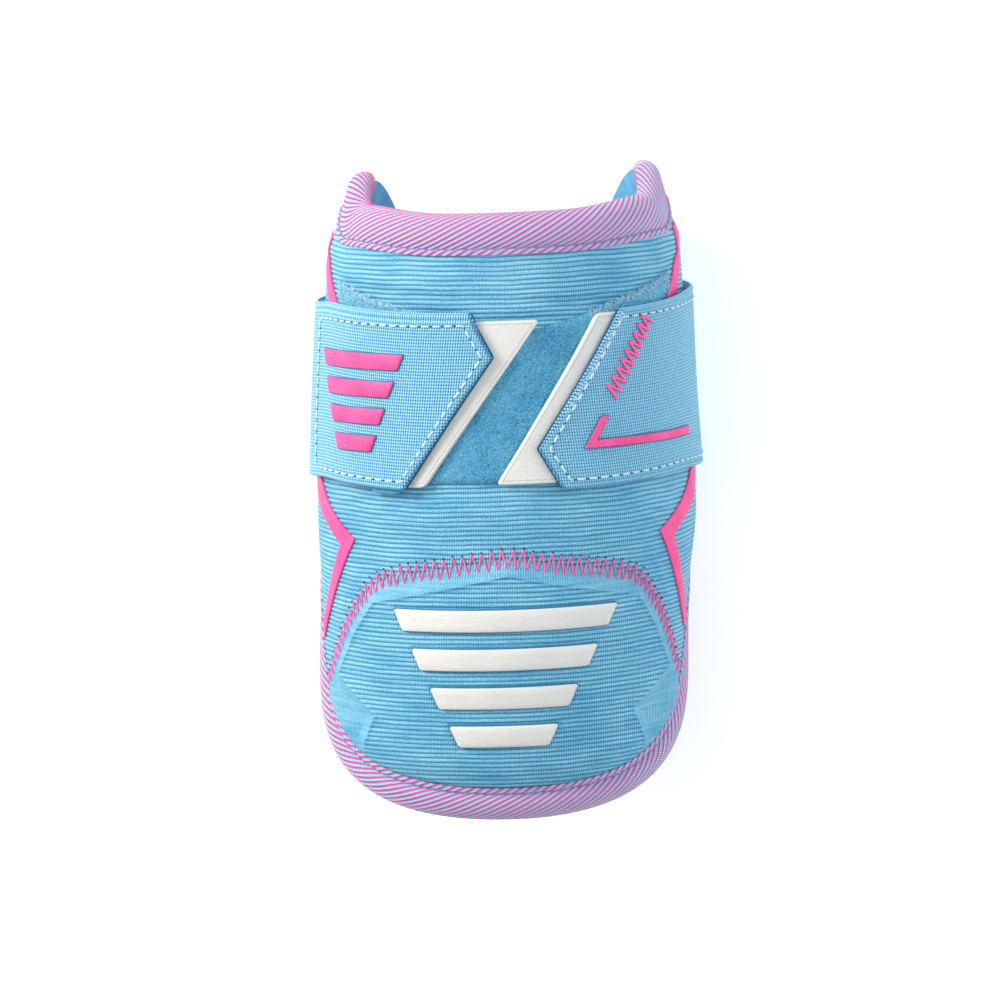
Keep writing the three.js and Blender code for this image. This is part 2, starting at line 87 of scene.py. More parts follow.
# Soft relief of the padding: swells above and below the strap, gathers, a ridge by each side stripe, folds
RELIEF_TURNS = (95, 70)
SWELL = 0.9
GATHER = 0.22
GATHER_WAVE = 1.15
GATHER_SLANT = 0.06
GATHER_START = (0.02, 0.2)
GATHER_END = (0.75, 0.35)
LOW_SWELL = 0.55
LOW_SWELL_RISES = (79, 98)
LOW_SWELL_START = (79, 84)
RIDGE = 0.4
RIDGE_WIDTH = 0.7
RIDGE_ASIDE = 5.6
RIDGE_OFF_CAP = (1.5, 4)
RIDGE_START = (52, 58)
RIDGE_END = (97, 92)
CREASE_DEPTH = 0.4
CREASE_WIDTH = 1.3
CREASES = [((-26, 94.2), (-41, 90.6)), ((-33, 90.2), (-47, 86.2)), ((-44, 93.4), (-56, 90.8)),
           ((24, 93.6), (40, 90.2)), ((37, 94.6), (54, 90.4)), ((45, 88.8), (54, 85.4))]

# Strap
STRAP_WIDTH = 50.6
STRAP_HALF = STRAP_WIDTH / 2
STRAP_THICKNESS = 1.6
STRAP_MIDDLE = 122.2
STRAP_SIDE_RISE = 1.8
STRAP_SIDE_TURNS = (20, 80)
STRAP_LEFT_DROP = 1.9
STRAP_LEFT_TURNS = (60, 88)
STRAP_RIGHT_SPREAD = 1.2
STRAP_SPREAD_TURNS = (55, 85)
STRAP_SPREAD_END = (135, 100)
STRAP_LEFT_HEM = 1.3
STRAP_HEM_ACROSS = (0.9, 1)
STRAP_HEM_TURNS = (0, 8)
STRAP_MEET_TURN = 3.0
STRAP_FRONT_TURN = 52.0
SQUEEZE = 2.6
SQUEEZE_TURNS = (100, 134)
SQUEEZE_FADE = (30, 8)
LAYER_GAP = 0.3
LOOP_THICKNESS = 1.0
HOOK_THICKNESS = 1.2
HOOK_LIFT = 2 * LAYER_GAP + LOOP_THICKNESS
STRAP_FRONT_LIFT = HOOK_LIFT + HOOK_THICKNESS + LAYER_GAP
STRAP_FACE_LIFT = STRAP_FRONT_LIFT + STRAP_THICKNESS
STRAP_END_ACROSS = [-1, 0.53, 1]
STRAP_END_TURN = [-33, -6.4, -13]
STRAP_LIFT_TURN = [50, 62, 72, 90, 110, 125, 140]
STRAP_LIFT = [STRAP_FRONT_LIFT, 2.4, 1.8, 1.3, 0.8, 0.4, 0.35]
STRAP_WING_GAP_TURN = 1.5
STRAP_BEND_COLUMNS = 14
STRAP_BEND_PASSES = 10
SELVEDGE = 1.4
SELVEDGE_HEIGHT = 0.2
SELVEDGE_GROOVE = 0.16
SELVEDGE_ROUNDING = 0.75
SELVEDGE_GROOVE_WIDTH = 0.25
CORDED_EDGE = (1.2, 2)
END_HEM = 0.18
END_HEM_WIDTH = (3.4, 2.3)
END_SLANT = 0.84
END_ROUNDING = 0.8
END_THICKNESS = 0.5

# White tab at the strap's end, in turns from where the ends meet, against the place across the strap
TAB_ACROSS = [-1.05, 1]
TAB_HIDDEN = [-34.9, -11.8]
TAB_FREE = {-1: [-28.7, 8.9], 1: [-27.1, 7]}
TAB_LOW = -0.97
TAB_HIGH = 0.94
TAB_LINE = 0.25
HOOK_PAD_LOW = -1.05
HOOK_PAD_END_TURN = -45.0

# Folded tape on the edges
BINDING_LEG = 8.0
TOP_BINDING_LEG = 9.5
ROLL_REACH = 2.3
SLIM_ROLL = 3.4
FULL_ROLL = 5.4
ROLL_ROUNDING = 8.0
TOP_ROLL = ([40, 72], [4.9, 3.6])
LOW_ROLL = ([25, 60, 78, 92], [4.9, 5.2, 4.8, 3.8])
TOP_BINDING_END_TURN = 99.5
BOTTOM_BINDING_END_TURN = 133.0
TAPE_LIP = 1.9
TAPE_SPACING = 0.28
TWILL_HEIGHT = 0.1

# Raised cap
CAP_END_TURN = 69.5
CAP_EDGE_LIFT = 1.1
CAP_CROWN_LIFT = 3.0
CAP_BEVEL = 4.5
CAP_LOW_BEVEL = (-1, 7.0)
CAP_CREASE = 0.55
CAP_CREASE_WIDTH = 0.5
CAP_TUCK = 0.6
CAP_TUCK_WIDTH = 0.9
CAP_SEAM_TURN = [0, 36, 44, 51, 58, 65.5, 70.5]
CAP_SEAM_RISE = [77, 71.3, 68.4, 62, 54.5, 44, 36]
CAP_SEAM_ROUNDING = 1.5
CAP_RIDGE = [(0, 72.2), (17.6, 68.4), (42, 63.5), (50, 53.7), (58, 40.7), (41, 29.8), (47, 17.5), (30, -10)]
CAP_FIRST_ROW = 6
PRESSED_RIBS = 0.1
PRESSED_EDGE = (-0.5, 0.6)

# Napped panel
LOOP_BOTTOM = 98.6
LOOP_TOP = 140.7
LOOP_TOP_SLOPE = 0.235
LOOP_SIDE_HEIGHT = [0, 0.78, 1]
LOOP_SIDE_TURN = [52, 52, 67]
LOOP_MEAN_HEIGHT = 42
LOOP_MEAN_HALF_LENGTH = 50
LOOP_EDGE_LIFT = 0.45
LOOP_EDGE_ROUNDING = 1.6
NAP_UNEVENNESS = 0.16
BRUSHED_SHARE = 0.8
BRUSHED_TURNS = (22, 40)
BRUSHED_DEPTH = (13, 3)
NAP_COUNT = 18000
NAP_BEND = 1.2
NAP_REACH = (0.25, 0.7)
NAP_HEIGHT = (0.1, 0.3)
FIBRE_SINK = 0.1
FRAYED_COUNT = 1800
FRAYED_TURNS = (27, 64)
FRAYED_DEPTH = 6
FRAYED_OVERHANG = 0.3
FRAYED_BEND = (-1.6, 1.6)
FRAYED_REACH = (0.5, 1.7)
FRAYED_HEIGHT = (0.15, 0.5)
COVERED_MARGIN_TURN = 0.8
COVERED_MARGIN_ACROSS = 1.02

# Corners of the bent film stripes (turn, rise), front edge then back edge, on the right side
SIDE_STRIPE_FRONT = [(76.5, 167.6), (74, 161.5), (55.5, 139), (81, 99.5), (52, 80.8), (77.6, 48.6)]
SIDE_STRIPE_BACK = [(82, 169.6), (80, 160), (63, 138), (88, 96.5), (60, 78.6), (80.2, 51.2)]
STRIPE_LEAN = {-1: 5.0, 1: 0.0}
STRIPE_LEAN_RISE = 150.0
STRIPE_GAP = 0.2
STRAP_STRIPE_FRONT = [(28.2, 117.2), (22.6, 108.2), (66, 108.2)]
STRAP_STRIPE_BACK = [(30.8, 117.2), (26.6, 110.6), (66, 110.6)]

# Raised bars: rise, half length of the upper edge, half length of the lower edge
CAP_BARS = [(59, 34, 31), (47.5, 28, 25), (36, 22, 19), (24.5, 16, 13)]
CAP_BAR_HEIGHT = 6.4
STRAP_BARS = [(134.2, 18, 16), (126.2, 15, 13), (118.2, 12, 10), (110.2, 9, 7)]
STRAP_BAR_TURN = -48.0
STRAP_BAR_HEIGHT = 4.6
BAR_GROOVE = 0.45
BAR_GROOVE_WIDTH = 0.45
BAR_GROOVE_ASIDE = 0.35
BAR_SEAT_EDGE = (-0.9, -0.2)
BAR_SEAT_GAP = 0.14
STRAP_TRIM_GAP = 0.12

# Moulded trim: radius of its ends, thickness, width and depth of its bevel, inset of a pressed line
TAB_SHAPE = {"radius": 1.6, "thickness": HOOK_THICKNESS, "bevel": 0.6, "drop": 0.85, "line": 1.3}
HOOK_SHAPE = {"radius": 0.5, "thickness": HOOK_THICKNESS, "bevel": 0.2, "drop": 0.2}
STRIPE_SHAPE = {"radius": 0.5, "thickness": 0.5, "bevel": 0.35, "drop": 0.3}
CAP_BAR_SHAPE = {"radius": 0.9, "thickness": 1.2, "bevel": 0.8, "drop": 0.6}
STRAP_TRIM_SHAPE = {"radius": 0.5, "thickness": 0.7, "bevel": 0.5, "drop": 0.4}
TRIM_STEP = 1.4
TRIM_COLUMN = 3

# Cords of the cloth and the elastic
RIB_PITCH = 1.37
RIB_HEIGHT = 0.34
RIB_SINK = 0.2
RIB_ROWS = 4
RIB_FULLNESS = 2.4
RIB_WANDER = 0.25
RIB_FINE_WANDER = 0.08
CAP_WANDER_SHARE = 0.5
ELASTIC_PITCH = 0.92
ELASTIC_HEIGHT = 0.2
ELASTIC_ROWS = 4

# Spacing of threads and sizes of patterns in the materials
WARP_SPACING = 0.7
CLOTH_FLECK = 0.625
CLOTH_CLOUD = 20
CORD_STREAK = (14.286, 1.4286)
KNIT_COLUMN = 0.9
KNIT_ROW = 1.2
KNIT_CLOUD = 8.3333
TWILL_SPACING = 1.56
TWILL_SLOPE = math.tan(math.radians(28.0))
TWILL_WOBBLE = 0.08 * TWILL_SPACING
TWILL_WOBBLE_SIZE = 1.25
TAPE_THREAD = 0.75
NAP_CURL = 0.5
NAP_CLOUD = 10
ELASTIC_TIE = 0.74
ELASTIC_FLECK = 1.25
LEATHER_PEBBLE = 0.66667
LEATHER_GRAIN = 0.41667
MOULDING_CLOUD = 6.6667
PLY_TWIST = 0.45
HOOK_STEM = 0.83333

# Sewing
STITCH_INSET = 2.5
FAR_STITCH_INSET = {-1: 2.9, 1: 3.8}
END_STITCH_BACK = {-1: [0.6, 3.1, 2.0], 1: [0.2, 3.2, 2.2]}
SEWN_TURN = {-1: 72.0, 1: 100.0}
STRAP_STITCH = {"length": 2.5, "gap": 0.9}
TAPE_STITCH = {"length": 1.3, "gap": 0.9}
STITCH_SINK = 0.05
STITCH_ARCH = 0.32
HOLE_ARCH = 0.1
TAPE_STITCH_LIFT = 0.15
TAPE_STITCH_ARCH = 0.2
WHIPPED_ACROSS = 0.985
WHIPPED_TURNS = np.array([0.8, 0.4, 0.05, -0.25])
WHIPPED_LIFTS = np.array([0.15, 0.3, 0.2, -0.6])
END_CORD_TURN = 0.22
END_CORD_LIFT = 0.45
OVERCAST_COUNT = 34
OVERCAST_ACROSS = (-0.96, 0.1)
OVERCAST_START = 0.2
OVERCAST_REACH = (1.6, 2.6)
OVERCAST_SLANT = (0.1, 0.7)
OVERCAST_LIFTS = np.array([0.0, 0.25, 0.32, 0.25, 0.0])
ZIGZAG_PITCH = 2.8
ZIGZAG_REACH = 2.9
ZIGZAG_WANDER = 0.25
ZIGZAG_OVERRUN = 1.5
ZIGZAG_STEP = (-0.6, 0.6)
ZIGZAG_WALL_LIFT = 0.15
ZIGZAG_CAP_SINK = 0.05
ZIGZAG_HOLE_RISES = np.array([-0.25, 0.0, 0.35])
ZIGZAG_HOLE_LIFTS = np.array([0.1, 0.16, 0.1])
TACK_START = (48.2, 142.8)
TACK_END = (33.8, 121.4)
TACK_COUNT = 9
TACK_WIDTH = 5.4
TACK_SLANT = 0.17
TACK_LIFT = 0.05
TACK_ARCH = 0.4

# Radius of each thread and fibre
STRAP_THREAD = 0.3
STRAP_HOLE = 0.24
TAPE_SEAM_THREAD = 0.2
OVERCAST_THREAD = 0.17
END_CORD = 0.28
WHIPPING_THREAD = 0.12
ZIGZAG_THREAD = 0.2
ZIGZAG_HOLE = 0.34
TACK_THREAD = 0.48
RIM_SHADOW_LINE = 0.3
RIM_SHADOW_LIFT = 0.05
SHORT_FIBRE = 0.055
LONG_FIBRE = 0.08
THREAD_TIP = 0.45

# Columns and rows of the meshes
WALL_FRONT_COLUMNS = 91
WALL_REAR_COLUMNS = 36
WALL_REAR_TURN = 92
WALL_INNER_ROWS = 24
LINING_COLUMNS = 141
LINING_ROWS = 61
CAP_COLUMNS = 241
CAP_INNER_ROWS = 12
LOOP_COLUMNS = 131
LOOP_ROWS = 61
TOP_TAPE_COLUMNS = 401
BOTTOM_TAPE_COLUMNS = 561
STRAP_END_COLUMNS = 40
STRAP_SIDE_COLUMNS = 66
STRAP_BACK_COLUMNS = 46
STRAP_INNER_ROWS = 14
WHIPPING_COUNT = 121

# Studio, in metres
VIEW_TILT = math.radians(8.0)
VIEW_DISTANCE = 1.6
VIEW_TARGET = Vector((-0.001794, -0.005959, 0.036647))
VIEW_LENS = 192.8
LAMP_TARGET = Vector((0, 0, 0.04))
FLOOR_HALF = 4
FLOOR_DROP = 0.0002
FLOOR_MOTTLE = 0.125


def smooth(value, low, high):
    share = np.clip((value - low) / (high - low), 0, 1)
    return share * share * (3 - 2 * share)


def mix(low, high, share):
    return low + (high - low) * share


def bell(distance, width):
    return np.exp(-((distance / width) ** 2))


def unit(vectors):
    return vectors / np.linalg.norm(vectors, axis=-1, keepdims=True)


def lengths(line):
    """Distance of each point along a line of points."""
    return np.concatenate([[0], np.cumsum(np.linalg.norm(np.diff(line, axis=0), axis=1))])


def resample(line, spacing=1.0, count=None):
    """Points at an even spacing along a line of points, and their distances along it."""
    length = lengths(line)
    even = np.linspace(0, length[-1], count or max(2, round(length[-1] / spacing) + 1))
    return np.stack([np.interp(even, length, column) for column in line.T], -1), even


def rounded(at, keys, values, span):
    steps = (-1, -0.5, 0, 0.5, 1)
    return sum(np.interp(at + step * span, keys, values) for step in steps) / len(steps)


def foam_top(turn):
    around = np.abs(turn)
    past = np.clip((around - EAR_TURN) / (WING_TURN - EAR_TURN), 0, 1)
    tip = FRONT_TOP + SHOULDER_RISE * smooth(around, *SHOULDER_TURNS) + EAR_RISE * smooth(around, *EAR_TURNS)
    return np.where(around <= EAR_TURN, tip, WING_TOP + (tip - WING_TOP) * np.sqrt(1 - past**2))


def foam_bottom(turn):
    around = np.abs(turn)
    back = 1 - np.cos(np.radians(np.minimum(around, 90)))
    front = SIDE_BOTTOM / 2 * (back**BOTTOM_ROUNDNESS + back**BOTTOM_SWEEP)
    past = np.maximum(around - 90, 0)
    slope = math.radians(SIDE_BOTTOM / 2 * (BOTTOM_ROUNDNESS + BOTTOM_SWEEP))
    corner = np.clip((around - LOW_CORNER_TURN) / (WING_TURN - LOW_CORNER_TURN), 0, 1)
    rounding = LOW_CORNER_RADIUS * (1 - np.sqrt(1 - corner**2))
    tilt = BOTTOM_TILT * np.sin(np.radians(turn))
    return front + slope * past - REAR_FLATTENING * past**2 + rounding - tilt


def strap_middle(turn):
    return STRAP_MIDDLE + STRAP_SIDE_RISE * smooth(np.abs(turn), *STRAP_SIDE_TURNS)


def squeeze(turn, rise):
    """How far the strap draws the wings in."""
    off = np.abs(rise - strap_middle(turn)) - STRAP_HALF
    return SQUEEZE * smooth(np.abs(turn), *SQUEEZE_TURNS) * smooth(off, *SQUEEZE_FADE)


def face(turn, rise, lift):
    """Point in metres and outward normal for a place on the guard."""
    turn, rise, lift = np.broadcast_arrays(*(np.asarray(v, float) for v in (turn, rise, lift)))
    angle = np.radians(turn)
    half_width, front_depth, shift = (rounded(rise, SECTION_RISE, values, SECTION_ROUNDING) for values in
                                      (SECTION_HALF_WIDTH, SECTION_FRONT_DEPTH, SECTION_SHIFT))
    depth = np.where(np.abs(turn) < 90, front_depth, REAR_DEPTH)
    normal = unit(np.stack([np.sin(angle) / half_width, np.zeros_like(angle), np.cos(angle) / depth], -1))
    point = np.stack([shift + half_width * np.sin(angle), rise + SIDE_SKEW * np.sin(angle),
                      depth * np.cos(angle)], -1)
    point = point + normal * (lift - squeeze(turn, rise))[..., None]
    return (point - ORIGIN) * MM, normal


def arc_speed(turn):
    """Millimetres round the cloth face for a radian of turn."""
    angle = np.radians(turn)
    return np.hypot(MEAN_HALF_WIDTH * np.cos(angle), MEAN_DEPTH * np.sin(angle))


def arc_length(turn):
    """Distance round the cloth face from the front, in millimetres."""
    fine = np.linspace(0, 180, 721)
    speed = arc_speed(fine)
    length = np.concatenate([[0], np.cumsum((speed[1:] + speed[:-1]) / 2 * np.radians(fine[1] - fine[0]))])
    return np.sign(turn) * np.interp(np.abs(turn), fine, length)


def make_piece(name, points, faces, uv, material, flat_angle=None, marks=None):
    """Mesh object from arrays, with its map in millimetres along and across the cloth."""
    mesh = bpy.data.meshes.new(name)
    mesh.from_pydata(points.tolist(), [], faces)
    layer = mesh.uv_layers.new(name="cloth_mm")
    corner = np.empty(len(mesh.loops), int)
    mesh.loops.foreach_get("vertex_index", corner)
    layer.data.foreach_set("uv", np.ascontiguousarray(uv[corner], dtype=np.float32).ravel())
    mesh.polygons.foreach_set("use_smooth", np.ones(len(mesh.polygons), bool))
    mesh.materials.append(material)
    if marks is not None:
        layer = mesh.attributes.new("marks", "FLOAT", "POINT")
        layer.data.foreach_set("value", np.ascontiguousarray(marks, dtype=np.float32).ravel())
    piece = bpy.data.objects.new(name, mesh)
    bpy.context.scene.collection.objects.link(piece)
    clean(mesh)
    if flat_angle is not None:
        mesh.set_sharp_from_angle(angle=math.radians(flat_angle))
    return piece


def clean(mesh):
    """Merges the points that fall together on an edge and turns every face outwards."""
    work = bmesh.new()
    work.from_mesh(mesh)
    bmesh.ops.remove_doubles(work, verts=work.verts, dist=2e-6)
    bmesh.ops.dissolve_degenerate(work, dist=1e-6, edges=work.edges)
    bmesh.ops.recalc_face_normals(work, faces=work.faces)
    work.to_mesh(mesh)
    work.free()


def skin(index):
    """Faces of a closed skin through rings of point numbers, with its first and last ring filled."""
    after = np.roll(index, -1, axis=1)
    quads = np.stack([index[:-1], index[1:], after[1:], after[:-1]], -1).reshape(-1, 4).tolist()
    return quads + [index[0].tolist(), index[-1][::-1].tolist()]


def loft(name, rings, uv, material, flat_angle=None, marks=None):
    """Piece with a closed skin through rings of points."""
    faces = skin(np.arange(rings[..., 0].size).reshape(rings.shape[:2]))
    return make_piece(name, rings.reshape(-1, 3), faces, uv.reshape(-1, 2), material, flat_angle, marks)


def ribs(distance, pitch, height):
    """Height of rounded cords that lie side by side."""
    share = np.mod(distance / pitch, 1)
    return height * (1 - np.abs(2 * share - 1) ** RIB_FULLNESS)


def linear(code):
    """Linear colour of an sRGB hex code such as "7fc4e6"."""
    shares = [int(code[i : i + 2], 16) / 255 for i in (0, 2, 4)]
    return [s / 12.92 if s <= 0.04045 else ((s + 0.055) / 1.055) ** 2.4 for s in shares] + [1.0]


def add(tree, kind, inputs=None, **settings):
    """Adds a shader node with its settings and gives back its outputs; inputs maps its sockets to values or
    to the sockets that feed them. A Mix node takes colours in sockets 6 and 7; output 2 is their mix."""
    made = tree.nodes.new("ShaderNode" + kind)
    for name, value in settings.items():
        setattr(made, name, value)
    for socket, value in (inputs or {}).items():
        if isinstance(value, bpy.types.NodeSocket):
            tree.links.new(value, made.inputs[socket])
        else:
            made.inputs[socket].default_value = value
    return made.outputs


def start_material(name, **shader_values):
    """New material with its shader values set, its tree of nodes, and the cloth map in millimetres."""
    material = bpy.data.materials.new(name)
    material.use_nodes = True
    tree = material.node_tree
    for socket, value in shader_values.items():
        tree.nodes["Principled BSDF"].inputs[socket.replace("_", " ")].default_value = value
    return material, tree, add(tree, "UVMap", uv_map="cloth_mm")["UV"]


def wave(tree, distance, spacing, kind="SINE"):
    """Wave between -1 and 1 over threads at an even spacing."""
    turns = add(tree, "Math", {0: distance, 1: math.tau / spacing}, operation="MULTIPLY")
    return add(tree, "Math", {0: turns[0]}, operation=kind)[0]


def finish_material(material, colour, height, strength, depth, invert=False):
    """Gives a material its colour and a relief, with the relief's depth in millimetres."""
    tree = material.node_tree
    shader = tree.nodes["Principled BSDF"]
    relief = add(tree, "Bump", {"Height": height, "Strength": strength, "Distance": depth * MM},
                 invert=invert)
    tree.links.new(colour, shader.inputs["Base Color"])
    tree.links.new(relief[0], shader.inputs["Normal"])
    return material


def corded_polyester():
    """Corded polyester, woven with thick weft cords: rounded ribs with lit crests and grooves darkened by
    painted shade, dotted by fine warp threads, and smooth where the pad was hot-pressed."""
    material, tree, mapped = start_material(
        "corded_polyester", Roughness=0.52, IOR=1.5, Specular_IOR_Level=0.65)
    along, up, _ = add(tree, "SeparateXYZ", {0: mapped})
    ribbed = add(tree, "Attribute", attribute_name="marks")["Fac"]
    cord = wave(tree, up, RIB_PITCH, "COSINE")
    # Warp threads are about 0.4 mm apart; drawn wider apart so that they show
    thread = wave(tree, along, WARP_SPACING)
    dotted = add(tree, "Math", {0: thread, 1: 0.3, 2: cord}, operation="MULTIPLY_ADD")
    # Painted shade in the valleys between the cords, broken by the warp dots; faint and even where pressed
    groove = add(tree, "MapRange", {0: dotted[0], 1: -0.15, 2: 1.1}, interpolation_type="SMOOTHSTEP")
    groove = add(tree, "Math", {0: groove[0], 1: 0.92}, operation="MULTIPLY")
    groove = add(tree, "Mix", {0: ribbed, 2: 0.27, 3: groove[0]})
    fleck = add(tree, "TexNoise", {"Vector": mapped, "Scale": 1 / CLOTH_FLECK, "Detail": 3.0})["Fac"]
    cloud = add(tree, "TexNoise", {"Vector": mapped, "Scale": 1 / CLOTH_CLOUD, "Detail": 2.0})["Fac"]
    # Single cords vary in shade for a centimetre or two along their length
    drawn = add(tree, "VectorMath", {0: mapped, 1: (*CORD_STREAK, 1.0)}, operation="DIVIDE")
    streak = add(tree, "TexNoise", {"Vector": drawn[0], "Scale": 1.0, "Detail": 2.0})["Fac"]
    tone = add(tree, "Math", {0: fleck, 1: streak}, operation="ADD")
    tone = add(tree, "Math", {0: cloud, 1: 0.6, 2: tone[0]}, operation="MULTIPLY_ADD")
    tone = add(tree, "MapRange", {0: tone[0], 1: 0.95, 2: 1.65})
    cloth = add(tree, "Mix", {0: tone[0], 6: linear("3ba1cf"), 7: linear("90d6ea")}, data_type="RGBA")
    colour = add(tree, "Mix", {0: groove[0], 6: cloth[2], 7: linear("176a9f")}, data_type="RGBA")
    grain = add(tree, "Math", {0: thread, 1: 0.5, 2: fleck}, operation="MULTIPLY_ADD")
    return finish_material(material, colour[2], grain[0], strength=0.6, depth=0.3)


def knitted_lining():
    """Warp-knitted polyester, brushed lightly: an even, dull, deeper blue with fine columns of stitches."""
    material, tree, mapped = start_material("knitted_lining", Roughness=0.85, IOR=1.5, Sheen_Weight=0.2)
    along, up, _ = add(tree, "SeparateXYZ", {0: mapped})
    column, row = wave(tree, along, KNIT_COLUMN), wave(tree, up, KNIT_ROW)
    knit = add(tree, "Math", {0: column, 1: row}, operation="MULTIPLY")[0]
    cloud = add(tree, "TexNoise", {"Vector": mapped, "Scale": 1 / KNIT_CLOUD, "Detail": 4.0})["Fac"]
    tone = add(tree, "Math", {0: knit, 1: 0.12, 2: cloud}, operation="MULTIPLY_ADD")
    tone = add(tree, "MapRange", {0: tone[0], 1: 0.25, 2: 0.75})
    colour = add(tree, "Mix", {0: tone[0], 6: linear("2f88b8"), 7: linear("62b6de")}, data_type="RGBA")
    return finish_material(material, colour[2], knit, strength=0.5, depth=0.2)


def twill_tape():
    """Polyester twill tape in two colours: steep diagonal wales of pink yarn over a pale blue ground, with a
    short sparkle where single threads cross, painted as lighter thread tops and darker gaps between."""
    material, tree, mapped = start_material(
        "polyester_twill_tape", Roughness=0.65, IOR=1.5, Specular_IOR_Level=0.25)
    along, across, _ = add(tree, "SeparateXYZ", {0: mapped})
    slide = add(tree, "Math", {0: along, 1: -TWILL_SLOPE, 2: across}, operation="MULTIPLY_ADD")
    wobble = add(tree, "TexNoise", {"Vector": mapped, "Scale": 1 / TWILL_WOBBLE_SIZE, "Detail": 2.0})["Fac"]
    slide = add(tree, "Math", {0: wobble, 1: TWILL_WOBBLE, 2: slide[0]}, operation="MULTIPLY_ADD")
    wale = wave(tree, slide[0], TWILL_SPACING, "COSINE")
    pink = add(tree, "MapRange", {0: wale, 1: 0.06, 2: 0.48}, interpolation_type="SMOOTHSTEP")
    # Single threads are about 0.3 mm apart; drawn wider apart so that they show
    cross = add(tree, "Math", {0: along, 1: 0.9, 2: across}, operation="MULTIPLY_ADD")
    cross = wave(tree, cross[0], TAPE_THREAD)
    # Painted highlight on each thread's top and painted shade between threads, in the ground and the wales
    painted_thread_glint = add(tree, "MapRange", {0: cross, 1: -0.2, 2: 0.9})[0]
    ground = add(tree, "Mix", {0: painted_thread_glint, 6: linear("4aaad6"), 7: linear("c0e6f3")}, data_type="RGBA")
    dyed = add(tree, "Mix", {0: painted_thread_glint, 6: linear("df1a77"), 7: linear("fb4c9f")}, data_type="RGBA")
    colour = add(tree, "Mix", {0: pink[0], 6: ground[2], 7: dyed[2]}, data_type="RGBA")
    relief = add(tree, "Math", {0: cross, 1: 0.35, 2: wale}, operation="MULTIPLY_ADD")
    return finish_material(material, colour[2], relief[0], strength=0.5, depth=0.2)


def brushed_loop():
    """Nylon loop cloth, brushed to a felted nap: mottled, soft and without gloss, paler where fibres stand
    up."""
    material, tree, mapped = start_material(
        "brushed_nylon_loop", Roughness=0.95, IOR=1.5, Specular_IOR_Level=0.15)
    curl = add(tree, "TexNoise", {"Vector": mapped, "Scale": 1 / NAP_CURL, "Detail": 6.0, "Roughness": 0.7,
                                  "Distortion": 0.8})["Fac"]
    cloud = add(tree, "TexNoise", {"Vector": mapped, "Scale": 1 / NAP_CLOUD, "Detail": 2.0})["Fac"]
    tone = add(tree, "Math", {0: cloud, 1: 0.25, 2: curl}, operation="MULTIPLY_ADD")
    tone = add(tree, "MapRange", {0: tone[0], 1: 0.48, 2: 0.8})
    nap = add(tree, "Mix", {0: tone[0], 6: linear("1876ac"), 7: linear("7ccdea")}, data_type="RGBA")
    brushed = add(tree, "Attribute", attribute_name="marks")["Fac"]
    colour = add(tree, "Mix", {0: brushed, 6: nap[2], 7: linear("6ec4e8")}, data_type="RGBA")
    return finish_material(material, colour[2], curl, strength=0.8, depth=0.6)


def woven_elastic():
    """Woven elastic webbing: rows of covered rubber cords along its length, tied by a regular warp that
    breaks them into a fine grid, with painted shade in the grooves between the cords and along the ties."""
    material, tree, mapped = start_material(
        "woven_elastic", Roughness=0.52, IOR=1.5, Specular_IOR_Level=0.4)
    along, across, _ = add(tree, "SeparateXYZ", {0: mapped})
    row = wave(tree, across, ELASTIC_PITCH, "COSINE")
    groove = add(tree, "MapRange", {0: row, 1: 0.2, 2: 1.0, 4: 0.6}, interpolation_type="SMOOTHSTEP")
    # Ties are about 0.5 mm apart; drawn wider apart so that they show
    tie = wave(tree, along, ELASTIC_TIE)
    tied = add(tree, "MapRange", {0: tie, 1: 0.0, 2: 0.9}, interpolation_type="SMOOTHSTEP")
    # Painted shade: the grooves between the cords and the lines of the ties darken the colour
    dark = add(tree, "Math", {0: groove[0], 1: tied[0]}, operation="MAXIMUM")
    fleck = add(tree, "TexNoise", {"Vector": mapped, "Scale": 1 / ELASTIC_FLECK, "Detail": 5.0,
                                   "Roughness": 0.7})["Fac"]
    dark = add(tree, "Math", {0: dark[0], 1: fleck}, operation="MULTIPLY")
    dark = add(tree, "Math", {0: dark[0], 1: 1.9}, operation="MULTIPLY", use_clamp=True)
    cloth = add(tree, "Mix", {0: fleck, 6: linear("5cc2ea"), 7: linear("c8f4fc")}, data_type="RGBA")
    colour = add(tree, "Mix", {0: dark[0], 6: cloth[2], 7: linear("1a76b2")}, data_type="RGBA")
    grid = add(tree, "Math", {0: row, 1: tie}, operation="ADD")
    return finish_material(material, colour[2], grid[0], strength=0.5, depth=0.2, invert=True)


def grained_moulding(name, dark, light, roughness):
    """Thermoplastic polyurethane, moulded against an etched tool: an even colour with a fine leather grain
    and a satin shine along its bevels."""
    material, tree, mapped = start_material(name, Roughness=roughness, IOR=1.49, Specular_IOR_Level=0.45)
    pebble = add(tree, "TexVoronoi", {"Vector": mapped, "Scale": 1 / LEATHER_PEBBLE}, feature="SMOOTH_F1")
    grain = add(tree, "TexNoise", {"Vector": mapped, "Scale": 1 / LEATHER_GRAIN, "Detail": 3.0})["Fac"]
    cloud = add(tree, "TexNoise", {"Vector": mapped, "Scale": 1 / MOULDING_CLOUD, "Detail": 2.0})["Fac"]
    tone = add(tree, "Math", {0: cloud, 1: 0.3, 2: grain}, operation="MULTIPLY_ADD")
    tone = add(tree, "MapRange", {0: tone[0], 1: 0.45, 2: 0.85})
    colour = add(tree, "Mix", {0: tone[0], 6: linear(dark), 7: linear(light)}, data_type="RGBA")
    relief = add(tree, "Math", {0: pebble["Distance"], 1: grain}, operation="ADD")
    return finish_material(material, colour[2], relief[0], strength=0.45, depth=0.2)


